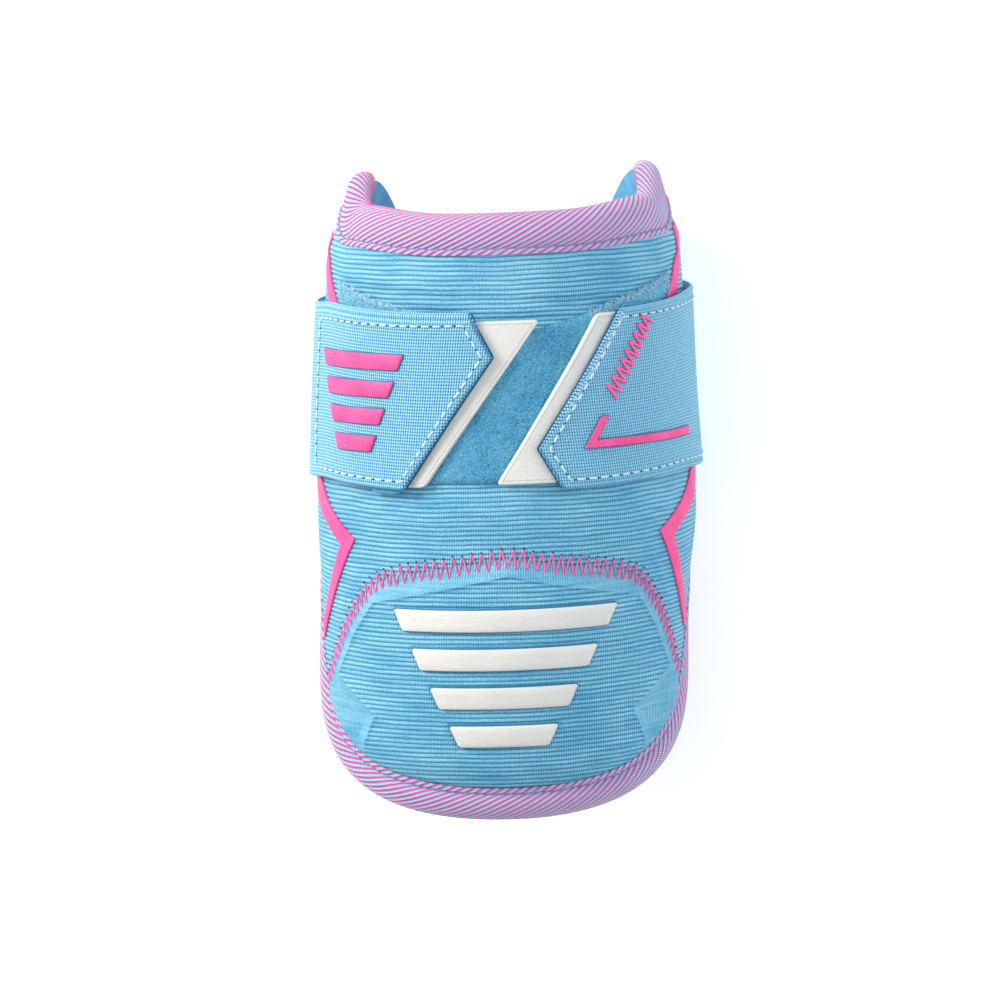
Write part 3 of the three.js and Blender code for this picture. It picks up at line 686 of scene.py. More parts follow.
def spun_thread(name, dark, light):
    """Spun polyester sewing thread: a soft shine broken by the twist of its plies."""
    material, tree, mapped = start_material(name, Roughness=0.6, IOR=1.5, Specular_IOR_Level=0.3)
    along, around, _ = add(tree, "SeparateXYZ", {0: mapped})
    twist = add(tree, "Math", {0: along, 1: 0.6, 2: around}, operation="MULTIPLY_ADD")
    ply = wave(tree, twist[0], PLY_TWIST)
    share = add(tree, "MapRange", {0: ply, 1: -1.0, 2: 1.0})
    colour = add(tree, "Mix", {0: share[0], 6: linear(dark), 7: linear(light)}, data_type="RGBA")
    return finish_material(material, colour[2], ply, strength=0.4, depth=0.1)


def hook_tape_nylon():
    """Moulded nylon hook tape: close rows of tiny stems that look like a rough, dull blue field."""
    material, tree, mapped = start_material("moulded_nylon_hook", Roughness=0.6, IOR=1.53)
    stems = add(tree, "TexVoronoi", {"Vector": mapped, "Scale": 1 / HOOK_STEM})["Distance"]
    colour = add(tree, "Mix", {0: stems, 6: linear("4ea6cf"), 7: linear("2f7fab")}, data_type="RGBA")
    return finish_material(material, colour[2], stems, strength=0.7, depth=0.5, invert=True)


def studio_floor():
    """Opal acrylic light table: matt white with a faint mottle, lit from below so that shadows are faint."""
    material = bpy.data.materials.new("opal_acrylic_table")
    material.use_nodes = True
    tree = material.node_tree
    shader = tree.nodes["Principled BSDF"]
    shader.inputs["Roughness"].default_value = 0.9
    place = add(tree, "TexCoord")["Object"]
    mottle = add(tree, "TexNoise", {"Vector": place, "Scale": 1 / FLOOR_MOTTLE})["Fac"]
    colour = add(tree, "Mix", {0: mottle, 6: linear("f3f3f2"), 7: linear("f7f7f6")}, data_type="RGBA")[2]
    tree.links.new(colour, shader.inputs["Base Color"])
    tree.links.new(colour, shader.inputs["Emission Color"])
    shader.inputs["Emission Strength"].default_value = 0.34
    return material


RIBBED = corded_polyester()
LINING_KNIT = knitted_lining()
TAPE = twill_tape()
NAP = brushed_loop()
ELASTIC = woven_elastic()
WHITE_TPU = grained_moulding("white_moulded_polyurethane", "d0d0cf", "e2e2e0", 0.5)
PINK_TPU = grained_moulding("pink_welded_polyurethane_film", "dd2078", "ff66aa", 0.5)
PINK_THREAD = spun_thread("pink_spun_polyester", "f8449a", "ff86c0")
SKY_THREAD = spun_thread("sky_spun_polyester", "a8d8ee", "eef9fd")
# Dark pieces of painted shade where the stitches pull into their needle holes
NEEDLE_HOLE_SHADOW = spun_thread("shadowed_needle_hole", "10435f", "174f70")
HOOK_NYLON = hook_tape_nylon()
# Dark material for lines of painted shadow along the rims of the raised trim
RIM_SHADOW = grained_moulding("painted_rim_shadow", "155c8c", "2276aa", 0.55)
# Navy thread for the strap's cut ends, made dark to paint the shadow line along each end as well
NAVY_EDGE_SHADOW_THREAD = spun_thread("navy_thread_with_painted_edge_shadow", "0f4a73", "236f9e")
NAP_FIBRE = spun_thread("brushed_nylon_fibre", "54b0de", "ccecfa")
FRAYED_FIBRE = spun_thread("frayed_nylon_fibre", "9cdcfa", "d2f2ff")
# Blue thread for the tapes' seams, made dark to paint the shade where the stitches pull into the tape
SEAM_SHADE_THREAD = spun_thread("blue_thread_with_painted_seam_shade", "2a7cab", "4fa3cc")


def finish_piece(piece, slot, *nodes):
    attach(piece, "root")
    if nodes:
        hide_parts(*nodes)
    return piece


def step_from_edge(edge, turn, into):
    """Turn and rise of one millimetre from an edge into the wall, square to the edge."""
    arc = np.radians(arc_speed(turn))
    slope = (edge(turn + 0.5) - edge(turn - 0.5)) / arc
    length = np.hypot(1, slope)
    return -into * slope / (length * arc), into / length


def cap_low(turn):
    """Rise of the cap's lower edge, which follows the tape's inner edge."""
    leg = BINDING_LEG + GAP
    foot = turn
    for _ in range(8):
        foot = turn - step_from_edge(foam_bottom, foot, 1)[0] * leg
    return foam_bottom(foot) + step_from_edge(foam_bottom, foot, 1)[1] * leg


def cap_seam(turn):
    return rounded(np.abs(turn), CAP_SEAM_TURN, CAP_SEAM_RISE, CAP_SEAM_ROUNDING)


def inside_outline(turn, rise, corners):
    """Distance to a line of (turn, rise) corners in millimetres, positive on its inner side."""
    x, y = turn * ARC, rise
    nearest = np.full(np.shape(x), np.inf)
    inside = np.zeros(np.shape(x), bool)
    flat = [(t * ARC, r) for t, r in corners]
    for (ax, ay), (bx, by) in zip(flat, flat[1:]):
        dx, dy = bx - ax, by - ay
        share = np.clip(((x - ax) * dx + (y - ay) * dy) / (dx * dx + dy * dy), 0, 1)
        nearest = np.minimum(nearest, np.hypot(x - ax - share * dx, y - ay - share * dy))
        if dy:
            inside ^= ((ay > y) != (by > y)) & (x < ax + (y - ay) / dy * dx)
    return np.where(inside, nearest, -nearest)


def inside_ridge(turn, rise):
    """Distance inside the cap's pressed ridge; the ridge is the same on both sides."""
    return inside_outline(np.abs(turn), rise, CAP_RIDGE + [(0, CAP_RIDGE[-1][1])])


def cap_lift(turn, rise):
    inside = inside_ridge(turn, rise)
    bevel = np.clip((inside + CAP_BEVEL) / CAP_BEVEL, 0, 1)
    roll = smooth(rise - cap_low(turn), *CAP_LOW_BEVEL)
    crease = CAP_CREASE * bell(inside, CAP_CREASE_WIDTH)
    return mix(CAP_EDGE_LIFT, CAP_CROWN_LIFT, bevel * roll) + crease * roll


def bar_groove(turn, rise):
    """Pressed line round each bar on the cap, and a flat seat under it."""
    depth = np.zeros(np.shape(turn))
    seat = np.zeros(np.shape(turn))
    for bar in CAP_BARS:
        low, high = bar_edges(0, CAP_BAR_HEIGHT, *bar)
        inside = inside_outline(turn, rise, low + high[::-1] + low[:1])
        depth = np.maximum(depth, bell(inside + BAR_GROOVE_ASIDE, BAR_GROOVE_WIDTH))
        seat = np.maximum(seat, smooth(inside, *BAR_SEAT_EDGE))
    return BAR_GROOVE * depth, seat


def rib_wave(turn, rise):
    """How far the cords wander up and down, in millimetres."""
    broad = np.sin(turn * 0.11 + rise * 0.05) * np.sin(rise * 0.083)
    return RIB_WANDER * broad + RIB_FINE_WANDER * np.sin(turn * 0.31 + rise * 0.17)


def loop_top(turn):
    return LOOP_TOP + LOOP_TOP_SLOPE * np.abs(turn)


def body_relief(turn, rise):
    """Soft swells of the padding: full between the tape and the strap, drawn in under the strap's lower
    edge, with a pressed ridge beside each side stripe and a few folds under the strap."""
    around = np.abs(turn)
    high = np.clip((rise - loop_top(turn)) / (foam_top(turn) - TOP_BINDING_LEG - loop_top(turn)), 0, 1)
    swell = SWELL * np.sin(np.pi * high) ** 2
    gathers = GATHER * np.sin((rise + GATHER_SLANT * turn) * GATHER_WAVE)
    swell += gathers * smooth(high, *GATHER_START) * smooth(high, *GATHER_END)
    first, last = LOW_SWELL_RISES
    low = np.clip((rise - first) / (last - first), 0, 1)
    swell += LOW_SWELL * np.sin(np.pi * low) ** 2 * smooth(rise, *LOW_SWELL_START)
    stripe = SIDE_STRIPE_FRONT[3:]
    aside = np.abs(inside_outline(around, rise, stripe))
    before = around < np.interp(-rise, [-r for _, r in stripe], [t for t, _ in stripe])
    off_cap = smooth(rise - cap_seam(np.minimum(around, CAP_END_TURN)), *RIDGE_OFF_CAP)
    ridge = RIDGE * bell(aside - RIDGE_ASIDE, RIDGE_WIDTH) * before * off_cap
    ridge = ridge * smooth(rise, *RIDGE_START) * smooth(rise, *RIDGE_END)
    folds = sum(bell(inside_outline(turn, rise, fold), CREASE_WIDTH) for fold in CREASES)
    return swell * smooth(around, *RELIEF_TURNS) + ridge - CREASE_DEPTH * folds


def wall_grid(turns, rows, low, high, inner_rows):
    """Places of a padded panel: rows that keep to the ribs outside, and a few rows back down the inside."""
    outer = np.clip(rows[None, :], low[:, None], high[:, None])
    inner = mix(high[:, None], low[:, None], np.linspace(0, 1, inner_rows)[None, :])
    return turns[:, None] + 0 * outer, outer, turns[:, None] + 0 * inner, inner


def padded_panel(name, turns, points, inside, weft, inner, marks):
    """Piece of corded cloth over foam from its outer and inner rows."""
    rise = np.concatenate([weft, inner], 1)
    uv = np.stack([arc_length(turns)[:, None] + 0 * rise, rise], -1)
    return loft(name, np.concatenate([points, inside], 1), uv, RIBBED, marks=marks)


def body_wall():
    """Padded wall: corded cloth over foam, its rear edges turned in."""
    rear = np.linspace(WALL_REAR_TURN, WING_TURN, WALL_REAR_COLUMNS)
    turns = np.concatenate([-rear[::-1], np.linspace(-90, 90, WALL_FRONT_COLUMNS), rear])
    rows = np.arange(0, FRONT_TOP + SHOULDER_RISE + EAR_RISE + RIB_PITCH, RIB_PITCH / RIB_ROWS)
    low, high = foam_bottom(turns), foam_top(turns)
    turn, outer, inner_turn, inner = wall_grid(turns, rows, low, high, WALL_INNER_ROWS)

    def thin(turn, rise):
        """Share of the full thickness where the wall rounds off towards its edges."""
        inset = np.minimum(foam_top(turn) - rise, rise - foam_bottom(turn))
        inset = np.minimum(WING_TURN - np.abs(turn), inset)
        return np.sqrt(1 - np.clip(1 - inset / EDGE_ROUNDING, 0, 1) ** 2)

    weft = outer + rib_wave(turn, outer)
    cords = ribs(weft, RIB_PITCH, RIB_HEIGHT) - RIB_SINK + body_relief(turn, outer)
    points, _ = face(turn, outer, -FOAM / 2 + (FOAM / 2 + cords) * thin(turn, outer))
    inside, _ = face(inner_turn, inner, -FOAM / 2 - FOAM / 2 * thin(inner_turn, inner))
    marks = np.ones((len(turns), outer.shape[1] + inner.shape[1]))
    piece = padded_panel("body_wall", turns, points, inside, weft, inner, marks)
    finish_piece(piece, "ribbed_cloth", "body_panel")


def inner_lining():
    """Knit lining on the inside of the wall."""
    turns = np.linspace(-WING_TURN + LINING_INSET, WING_TURN - LINING_INSET, LINING_COLUMNS)
    low, high = foam_bottom(turns) + LINING_INSET, foam_top(turns) - LINING_INSET
    rise = mix(low[:, None], high[:, None], np.linspace(0, 1, LINING_ROWS)[None, :])
    turn = turns[:, None] + 0 * rise
    uv = np.stack([arc_length(turn), rise], -1)
    near, _ = face(turn, rise, -FOAM - GAP)
    far, _ = face(turn, rise, -INSIDE)
    rings = np.concatenate([near, far[:, ::-1]], 1)
    piece = loft("inner_lining", rings, np.concatenate([uv, uv[:, ::-1]], 1), LINING_KNIT,
                 flat_angle=60)
    finish_piece(piece, "lining_cloth", "lining")


def cap_shell():
    """Elbow cap: corded cloth pressed over a moulded pad, smooth on its bevels and facets."""
    turns = np.linspace(-CAP_END_TURN, CAP_END_TURN, CAP_COLUMNS)
    rows = np.arange(CAP_FIRST_ROW, CAP_SEAM_RISE[0] + 1, RIB_PITCH / RIB_ROWS)
    low, high = cap_low(turns), cap_seam(turns)
    turn, outer, inner_turn, inner = wall_grid(turns, rows, low, high, CAP_INNER_ROWS)
    groove, seat = bar_groove(turn, outer)
    ribbed = mix(PRESSED_RIBS, 1, smooth(inside_ridge(turn, outer), *PRESSED_EDGE)) * (1 - seat)
    hem = np.minimum(high[:, None] - outer, (CAP_END_TURN - np.abs(turn)) * ARC)
    hem = np.minimum(hem, outer - low[:, None])
    tucked = CAP_TUCK * (1 - smooth(hem, 0, CAP_TUCK_WIDTH))
    weft = outer + CAP_WANDER_SHARE * rib_wave(turn, outer)
    cords = (ribs(weft, RIB_PITCH, RIB_HEIGHT) - RIB_SINK) * ribbed
    points, _ = face(turn, outer, cap_lift(turn, outer) + cords - tucked - groove)
    inside, _ = face(inner_turn, inner, GAP)
    marks = np.concatenate([ribbed, np.zeros(inner.shape)], 1)
    piece = padded_panel("elbow_cap", turns, points, inside, weft, inner, marks)
    finish_piece(piece, "ribbed_cloth", "cap_panel")


def tape_profile(leg, radius):
    """Section of the rolled tape as (inset from the edge, lift): lip, seam, puffed band, roll and inside
    leg."""
    seam = leg - TAPE_LIP
    centre = radius - ROLL_REACH
    rise = np.linspace(0, 1, 16)
    puff = mix(0.2, radius - INSIDE / 2, np.sin(rise * np.pi / 2) ** 0.8)
    band = np.stack([mix(seam - 0.2, centre, rise), puff], -1)
    angle = np.linspace(0, np.pi, 26)[1:]
    roll = np.stack([centre - radius * np.sin(angle), -INSIDE / 2 + radius * np.cos(angle)], -1)
    lip = np.array([[leg, 0.15], [leg - 0.15, 0.55], [seam + 0.5, 0.7], [seam + 0.1, 0.1]])
    inside = np.array([[seam, -INSIDE - 0.6], [leg, -INSIDE - 0.5]])
    return np.concatenate([lip, band, roll, inside])


def tape_back(leg):
    """Hidden side of the tape's section, laid on the wall's two faces and its edge."""
    inside = [[leg, -INSIDE - 0.2], [3.0, -INSIDE - 0.4]]
    return np.array([*inside, [-0.3, -INSIDE / 2], [3.0, 0.1], [leg, 0.05]])


def binding(name, edge, leg, turns, into, roll, node):
    """Twill tape rolled over an edge and sewn through; its roll differs between the front and the sides."""
    count = round(lengths(tape_profile(leg, FULL_ROLL))[-1] / TAPE_SPACING)
    slim, full = (resample(tape_profile(leg, radius), count=count) for radius in (SLIM_ROLL, FULL_ROLL))
    radius = rounded(np.abs(turns), *roll, ROLL_ROUNDING)
    share = ((radius - SLIM_ROLL) / (FULL_ROLL - SLIM_ROLL))[:, None]
    step_turn, step_rise = step_from_edge(edge, turns, into)

    def swept(inset, lift):
        turn = turns[:, None] + step_turn[:, None] * inset
        rise = edge(turns)[:, None] + step_rise[:, None] * inset
        return face(turn, rise, lift)[0]

    inset, lift = (mix(slim[0][None, :, i], full[0][None, :, i], share) for i in (0, 1))
    points = swept(inset, lift)
    along = lengths(points[:, count // 4]) / MM
    along -= along[len(along) // 2]
    across = mix(slim[1], full[1], share)
    uv = np.stack(np.broadcast_arrays(along[:, None], -into * across), -1)
    wale = np.cos(math.tau * (uv[..., 1] - uv[..., 0] * TWILL_SLOPE) / TWILL_SPACING)
    normal = -into * unit(np.cross(np.gradient(points, axis=0), np.gradient(points, axis=1)))
    points = points + normal * (TWILL_HEIGHT * wale)[..., None] * MM
    back = tape_back(leg)
    under = swept(back[None, :, 0], back[None, :, 1])
    rings = np.concatenate([points, under], 1)
    piece = loft(name, rings, np.concatenate([uv, np.zeros(under.shape[:2] + (2,))], 1), TAPE)
    finish_piece(piece, "twill_tape", node)


def loop_panel():
    """Napped panel that the strap's ends press on."""
    shares = np.linspace(0, 1, LOOP_ROWS)
    sides = np.linspace(-1, 1, LOOP_COLUMNS)
    turn = sides[:, None] * np.interp(shares, LOOP_SIDE_HEIGHT, LOOP_SIDE_TURN)[None, :]
    rise = mix(LOOP_BOTTOM, loop_top(turn), shares[None, :])
    uneven = NAP_UNEVENNESS * rng.standard_normal(turn.shape)
    edge = np.minimum(np.minimum(shares, 1 - shares)[None, :] * LOOP_MEAN_HEIGHT,
                      (1 - np.abs(sides))[:, None] * LOOP_MEAN_HALF_LENGTH)
    top = mix(LOOP_EDGE_LIFT, LAYER_GAP + LOOP_THICKNESS, smooth(edge, 0, LOOP_EDGE_ROUNDING))
    uv = np.stack([turn * ARC, rise], -1)
    outer, _ = face(turn, rise, top + uneven * smooth(edge, 0, 1))
    inner, _ = face(turn, rise, LAYER_GAP)
    rings = np.concatenate([outer, inner[:, ::-1]], 1)
    brushed = BRUSHED_SHARE * smooth(np.abs(turn), *BRUSHED_TURNS)
    brushed = brushed * smooth(loop_top(turn) - rise, *BRUSHED_DEPTH)
    piece = loft("loop_panel_nap", rings, np.concatenate([uv, uv[:, ::-1]], 1), NAP,
                 marks=np.concatenate([brushed, 0 * brushed], 1))
    fibres = nap_fibres()
    finish_piece(piece, "loop_nap", "loop_panel")


def threads(name, paths, radius, material, sides=6):
    """Thread along each path of (points, normals), thinner at its ends."""
    points, faces, uvs = [], [], []
    angle = np.linspace(0, math.tau, sides, endpoint=False)
    count = 0
    for line, normal in paths:
        along = unit(np.gradient(line, axis=0))
        aside = unit(np.cross(along, normal))[:, None, :]
        up = np.cross(aside, along[:, None, :])
        width = np.full(len(line), radius * MM)
        width[[0, -1]] *= THREAD_TIP
        ring = np.cos(angle)[None, :, None] * aside + np.sin(angle)[None, :, None] * up
        points.append((line[:, None, :] + ring * width[:, None, None]).reshape(-1, 3))
        far = lengths(line) / MM
        uvs.append(np.stack(np.broadcast_arrays(far[:, None], radius * angle[None, :]), -1).reshape(-1, 2))
        faces += skin(count + np.arange(len(line) * sides).reshape(len(line), sides))
        count += len(line) * sides
    return make_piece(name, np.concatenate(points), faces, np.concatenate(uvs), material)


def covered(turn, rise):
    """True where the strap's ends or tabs lie over a place on the napped panel."""
    across = (rise - STRAP_MIDDLE) / STRAP_HALF
    left = turn < STRAP_MEET_TURN + np.interp(across, TAB_ACROSS, TAB_FREE[-1]) + COVERED_MARGIN_TURN
    right = turn > STRAP_MEET_TURN - np.interp(-across, TAB_ACROSS, TAB_FREE[1]) - COVERED_MARGIN_TURN
    return (np.abs(across) < COVERED_MARGIN_ACROSS) & (left | right)


def curled(turn, rise, way, bend, reach, height):
    """Path of one loose fibre that starts on the nap, bends aside and dips back."""
    steps = np.linspace(0, 1, 4)
    heading = way + bend * steps
    lift = LAYER_GAP + LOOP_THICKNESS - FIBRE_SINK + height * np.sin(np.pi * steps)
    return face(turn + reach * steps * np.cos(heading) / ARC, rise + reach * steps * np.sin(heading), lift)


def nap_fibres():
    """Short curled fibres all over the bare nap, and longer pale ones frayed out along its upper edge."""
    turn = rng.uniform(-LOOP_SIDE_TURN[2], LOOP_SIDE_TURN[2], NAP_COUNT)
    share = rng.uniform(0.01, 0.99, NAP_COUNT)
    rise = mix(LOOP_BOTTOM, loop_top(turn), share)
    on_panel = np.abs(turn) < np.interp(share, LOOP_SIDE_HEIGHT, LOOP_SIDE_TURN) - 1
    short, frayed = [], []
    for t, r, kept in zip(turn, rise, on_panel):
        if covered(t, r):
            continue
        fibre = curled(t, r, rng.uniform(0, math.tau), NAP_BEND, rng.uniform(*NAP_REACH),
                       rng.uniform(*NAP_HEIGHT))
        if kept:
            short.append(fibre)
    for _ in range(FRAYED_COUNT):
        side, depth = rng.choice([-1, 1]), rng.uniform(0, 1) ** 2
        t = side * rng.uniform(*FRAYED_TURNS)
        r = loop_top(t) + FRAYED_OVERHANG - FRAYED_DEPTH * depth
        frayed.append(curled(t, r, rng.uniform(0, math.tau), rng.uniform(*FRAYED_BEND),
                             rng.uniform(*FRAYED_REACH), rng.uniform(*FRAYED_HEIGHT)))
    fluff = finish_piece(threads("frayed_fibres", frayed, LONG_FIBRE, FRAYED_FIBRE, sides=3), "loop_nap")
    return finish_piece(threads("nap_fibres", short, SHORT_FIBRE, NAP_FIBRE, sides=3), "loop_nap"), fluff


def strap_way(turn):
    """Middle of the strap as it is worn in: it sinks on the left side and a little on the right."""
    spread = STRAP_RIGHT_SPREAD / 3 * smooth(turn, *STRAP_SPREAD_TURNS)
    return strap_middle(turn) - STRAP_LEFT_DROP * smooth(-turn, *STRAP_LEFT_TURNS) - spread


def strap_half(turn):
    """Half width of the strap, eased out where it is pulled round the right side."""
    spread = smooth(turn, *STRAP_SPREAD_TURNS) * smooth(turn, *STRAP_SPREAD_END)
    return STRAP_HALF + STRAP_RIGHT_SPREAD * spread


def strap_rise(turn, across):
    """Rise of a place across the strap, -1 at its lower edge to 1 at its upper one."""
    hem = STRAP_LEFT_HEM * smooth(across, *STRAP_HEM_ACROSS) * smooth(-turn, *STRAP_HEM_TURNS)
    return strap_way(turn) + across * strap_half(turn) + hem


def strap_end(across, side):
    return STRAP_MEET_TURN - side * np.interp(-side * across, STRAP_END_ACROSS, STRAP_END_TURN)


def strap_lift(turn):
    return np.interp(np.abs(turn), STRAP_LIFT_TURN, STRAP_LIFT)


def strap_back_level():
    """Height of the middle of the strap where it crosses the open back."""
    wing, _ = face(WING_TURN, strap_middle(WING_TURN) + STRAP_HALF, 0)
    return wing[2] - (GAP + STRAP_THICKNESS / 2) * MM


def strap_course(across):
    """Middle layer of the strap, from its right end round the back to its left end."""
    shares = np.linspace(0, 1, STRAP_END_COLUMNS)[:, None]
    right_end = mix(strap_end(across, 1)[None, :], STRAP_FRONT_TURN, shares)
    left_end = mix(-STRAP_FRONT_TURN, strap_end(across, -1)[None, :], shares)
    last_turn = WING_TURN - STRAP_WING_GAP_TURN
    side = np.linspace(STRAP_FRONT_TURN, last_turn, STRAP_SIDE_COLUMNS)[1:, None] + 0 * across[None, :]

    def laid(turn):
        return face(turn, strap_rise(turn, across[None, :]), strap_lift(turn) + STRAP_THICKNESS / 2)[0]

    right, left = laid(np.concatenate([right_end, side])), laid(np.concatenate([-side[::-1], left_end]))
    level = strap_back_level()
    ways = np.linspace(0, 1, STRAP_BACK_COLUMNS)[1:-1, None, None]
    chord = mix(right[-1][None], left[0][None], ways)
    chord[..., 2] = level
    middle = np.concatenate([right, chord, left])
    first, last = len(right) - STRAP_BEND_COLUMNS, len(right) + len(chord) + STRAP_BEND_COLUMNS
    for _ in range(STRAP_BEND_PASSES):
        near = middle[first - 1 : last + 1]
        middle[first:last] = (near[:-2] + 2 * near[1:-1] + near[2:]) / 4
    middle[..., 2] = np.maximum(middle[..., 2], level)
    return middle


def strap_band():
    """Elastic strap: corded webbing with a rolled selvedge and hemmed ends."""
    across = np.linspace(-1, 1, round(STRAP_WIDTH / ELASTIC_PITCH) * ELASTIC_ROWS + 1)
    middle = strap_course(across)
    normal = unit(np.cross(np.gradient(middle, axis=0), np.gradient(middle, axis=1)))
    along = np.cumsum(np.linalg.norm(np.diff(middle, axis=0, prepend=middle[:1]), axis=-1), axis=0) / MM
    along -= along[len(along) // 2][None, :]
    edge = (1 - np.abs(across))[None, :] * STRAP_HALF
    # The ends are cut on a slant, so the way along the strap is longer than the way square to an end
    end = np.minimum(along - along[0], along[-1] - along) * END_SLANT
    body = np.sqrt(1 - (1 - np.clip(edge / SELVEDGE_ROUNDING, 0, 1)) ** 2)
    body = body * mix(END_THICKNESS, 1, smooth(end, 0, END_ROUNDING))
    selvedge = SELVEDGE_HEIGHT * np.sin(np.pi * np.clip(edge / SELVEDGE, 0, 1))
    selvedge = selvedge - SELVEDGE_GROOVE * bell(edge - SELVEDGE, SELVEDGE_GROOVE_WIDTH)
    hem = END_HEM * smooth(end, *END_HEM_WIDTH)
    cords = ribs(across[None, :] * STRAP_HALF, ELASTIC_PITCH, ELASTIC_HEIGHT) - ELASTIC_HEIGHT / 2
    cords = cords * smooth(edge, *CORDED_EDGE)
    outer = middle + normal * ((STRAP_THICKNESS / 2 + selvedge + hem + cords) * body)[..., None] * MM
    few = np.linspace(0, len(across) - 1, STRAP_INNER_ROWS).round().astype(int)[::-1]
    inner = middle[:, few] - normal[:, few] * (STRAP_THICKNESS / 2 * body[:, few])[..., None] * MM
    uv = np.stack([along, across[None, :] * STRAP_HALF + 0 * along], -1)
    rings = np.concatenate([outer, inner], 1)
    piece = loft("elastic_strap", rings, np.concatenate([uv, uv[:, few]], 1), ELASTIC)
    finish_piece(piece, "elastic", "strap_band")


def plate(name, front, back, seat, material, radius, thickness, bevel, drop, line=None):
    """Moulded band between two lines of (turn, rise) corners, with a bevelled rim, rounded ends and, where
    asked for, a line pressed along inside its rim."""
    front, back = (np.asarray(edge, float) * [ARC, 1] for edge in (front, back))
    corner_at = lengths((front + back) / 2)
    length = corner_at[-1]
    rim = [0, 0.35 * bevel, bevel]
    rim_height = [thickness - drop, thickness - 0.3 * drop, thickness]
    if line:
        rim += [line - TAB_LINE, line, line + TAB_LINE]
        rim_height += [thickness, thickness - TAB_LINE, thickness]
    ends = np.concatenate([rim, radius * np.array([0.1, 0.3, 0.6, 1])])
    inner = np.arange(radius + TRIM_STEP, length - radius - 0.5, TRIM_STEP)
    at = np.unique(np.concatenate([ends, inner, corner_at, length - ends]).round(4))
    a, b = (np.stack([np.interp(at, corner_at, column) for column in edge.T], -1) for edge in (front, back))
    width = np.linalg.norm(b - a, axis=1)
    end = np.minimum(at, length - at)
    inset = radius - np.sqrt(np.maximum(radius**2 - np.maximum(radius - end, 0) ** 2, 0))
    count = int(np.median(width) / TRIM_COLUMN)
    share = np.empty((len(at), count + 2 * len(rim)))
    for i, (wide, tuck) in enumerate(zip(width, inset)):
        edge = np.minimum(rim, wide / 2 - tuck - 0.02) + tuck
        flat = np.linspace(edge[-1], wide - edge[-1], count + 2)[1:-1]
        share[i] = np.concatenate([edge, flat, wide - edge[::-1]]) / wide
    from_side = np.minimum(share, 1 - share) * width[:, None] - inset[:, None]
    height = np.interp(np.minimum(from_side, end[:, None]), rim, rim_height)
    flat = a[:, None] + (b - a)[:, None] * share[..., None]
    flat = np.concatenate([flat, flat[:, ::-1]], 1)
    height = np.concatenate([height, 0 * height], 1)
    turn, rise = flat[..., 0] / ARC, flat[..., 1]
    points, _ = face(turn, rise, seat(turn, rise) + height)
    return loft(name, points, flat, material, flat_angle=32)


def at_strap_end(side, line):
    """Places of (place across the strap, turn from where the ends meet) on one of the strap's ends."""
    return [(STRAP_MEET_TURN - side * t, STRAP_MIDDLE - side * a * STRAP_HALF) for a, t in line]


def tab_edges(side):
    """Hidden and free long edges of a white tab."""
    return [at_strap_end(side, [(a, np.interp(a, TAB_ACROSS, edge)) for a in (TAB_LOW, TAB_HIGH)])
            for edge in (TAB_HIDDEN, TAB_FREE[side])]


def hook_edges(side):
    """Far edge of a hook pad, and its edge along the tab."""
    gap = 2 * GAP / ARC
    hidden = [(a, np.interp(a, TAB_ACROSS, TAB_HIDDEN) - gap) for a in (HOOK_PAD_LOW, 1)]
    far = [(a, HOOK_PAD_END_TURN) for a in (HOOK_PAD_LOW, 1)]
    return [at_strap_end(side, line) for line in (far, hidden)]


def bar_edges(turn, height, rise, top_half, bottom_half):
    """Lower and upper edge of a bar."""
    return [[(turn - half, rise + way * height / 2), (turn + half, rise + way * height / 2)]
            for way, half in ((-1, bottom_half), (1, top_half))]


def level(lift):
    return lambda turn, rise: lift + 0 * turn


def on_wall(turn, rise):
    return STRIPE_GAP + np.maximum(body_relief(turn, rise), 0)


def above_strap(gap):
    return lambda turn, rise: strap_lift(turn) + STRAP_THICKNESS + gap


def rim_shadow_lines():
    """Dark line of painted shadow round each bar and round the strap's stripe, along their rims."""
    on_strap = above_strap(STRAP_TRIM_GAP)
    trims = [(*bar_edges(0, CAP_BAR_HEIGHT, *bar), level(CAP_CROWN_LIFT)) for bar in CAP_BARS]
    trims += [(*bar_edges(STRAP_BAR_TURN, STRAP_BAR_HEIGHT, *bar), on_strap) for bar in STRAP_BARS]
    trims.append((STRAP_STRIPE_FRONT, STRAP_STRIPE_BACK, on_strap))
    paths = []
    for front, back, seat in trims:
        corners = np.asarray([*front, *back[::-1], front[0]], float) * [ARC, 1]
        turn, rise = (resample(corners, 0.8)[0] / [ARC, 1]).T
        paths.append(face(turn, rise, seat(turn, rise) + RIM_SHADOW_LIFT))
    finish_piece(threads("trim_rim_shadow_lines", paths, RIM_SHADOW_LINE, RIM_SHADOW), "ribbed_cloth")


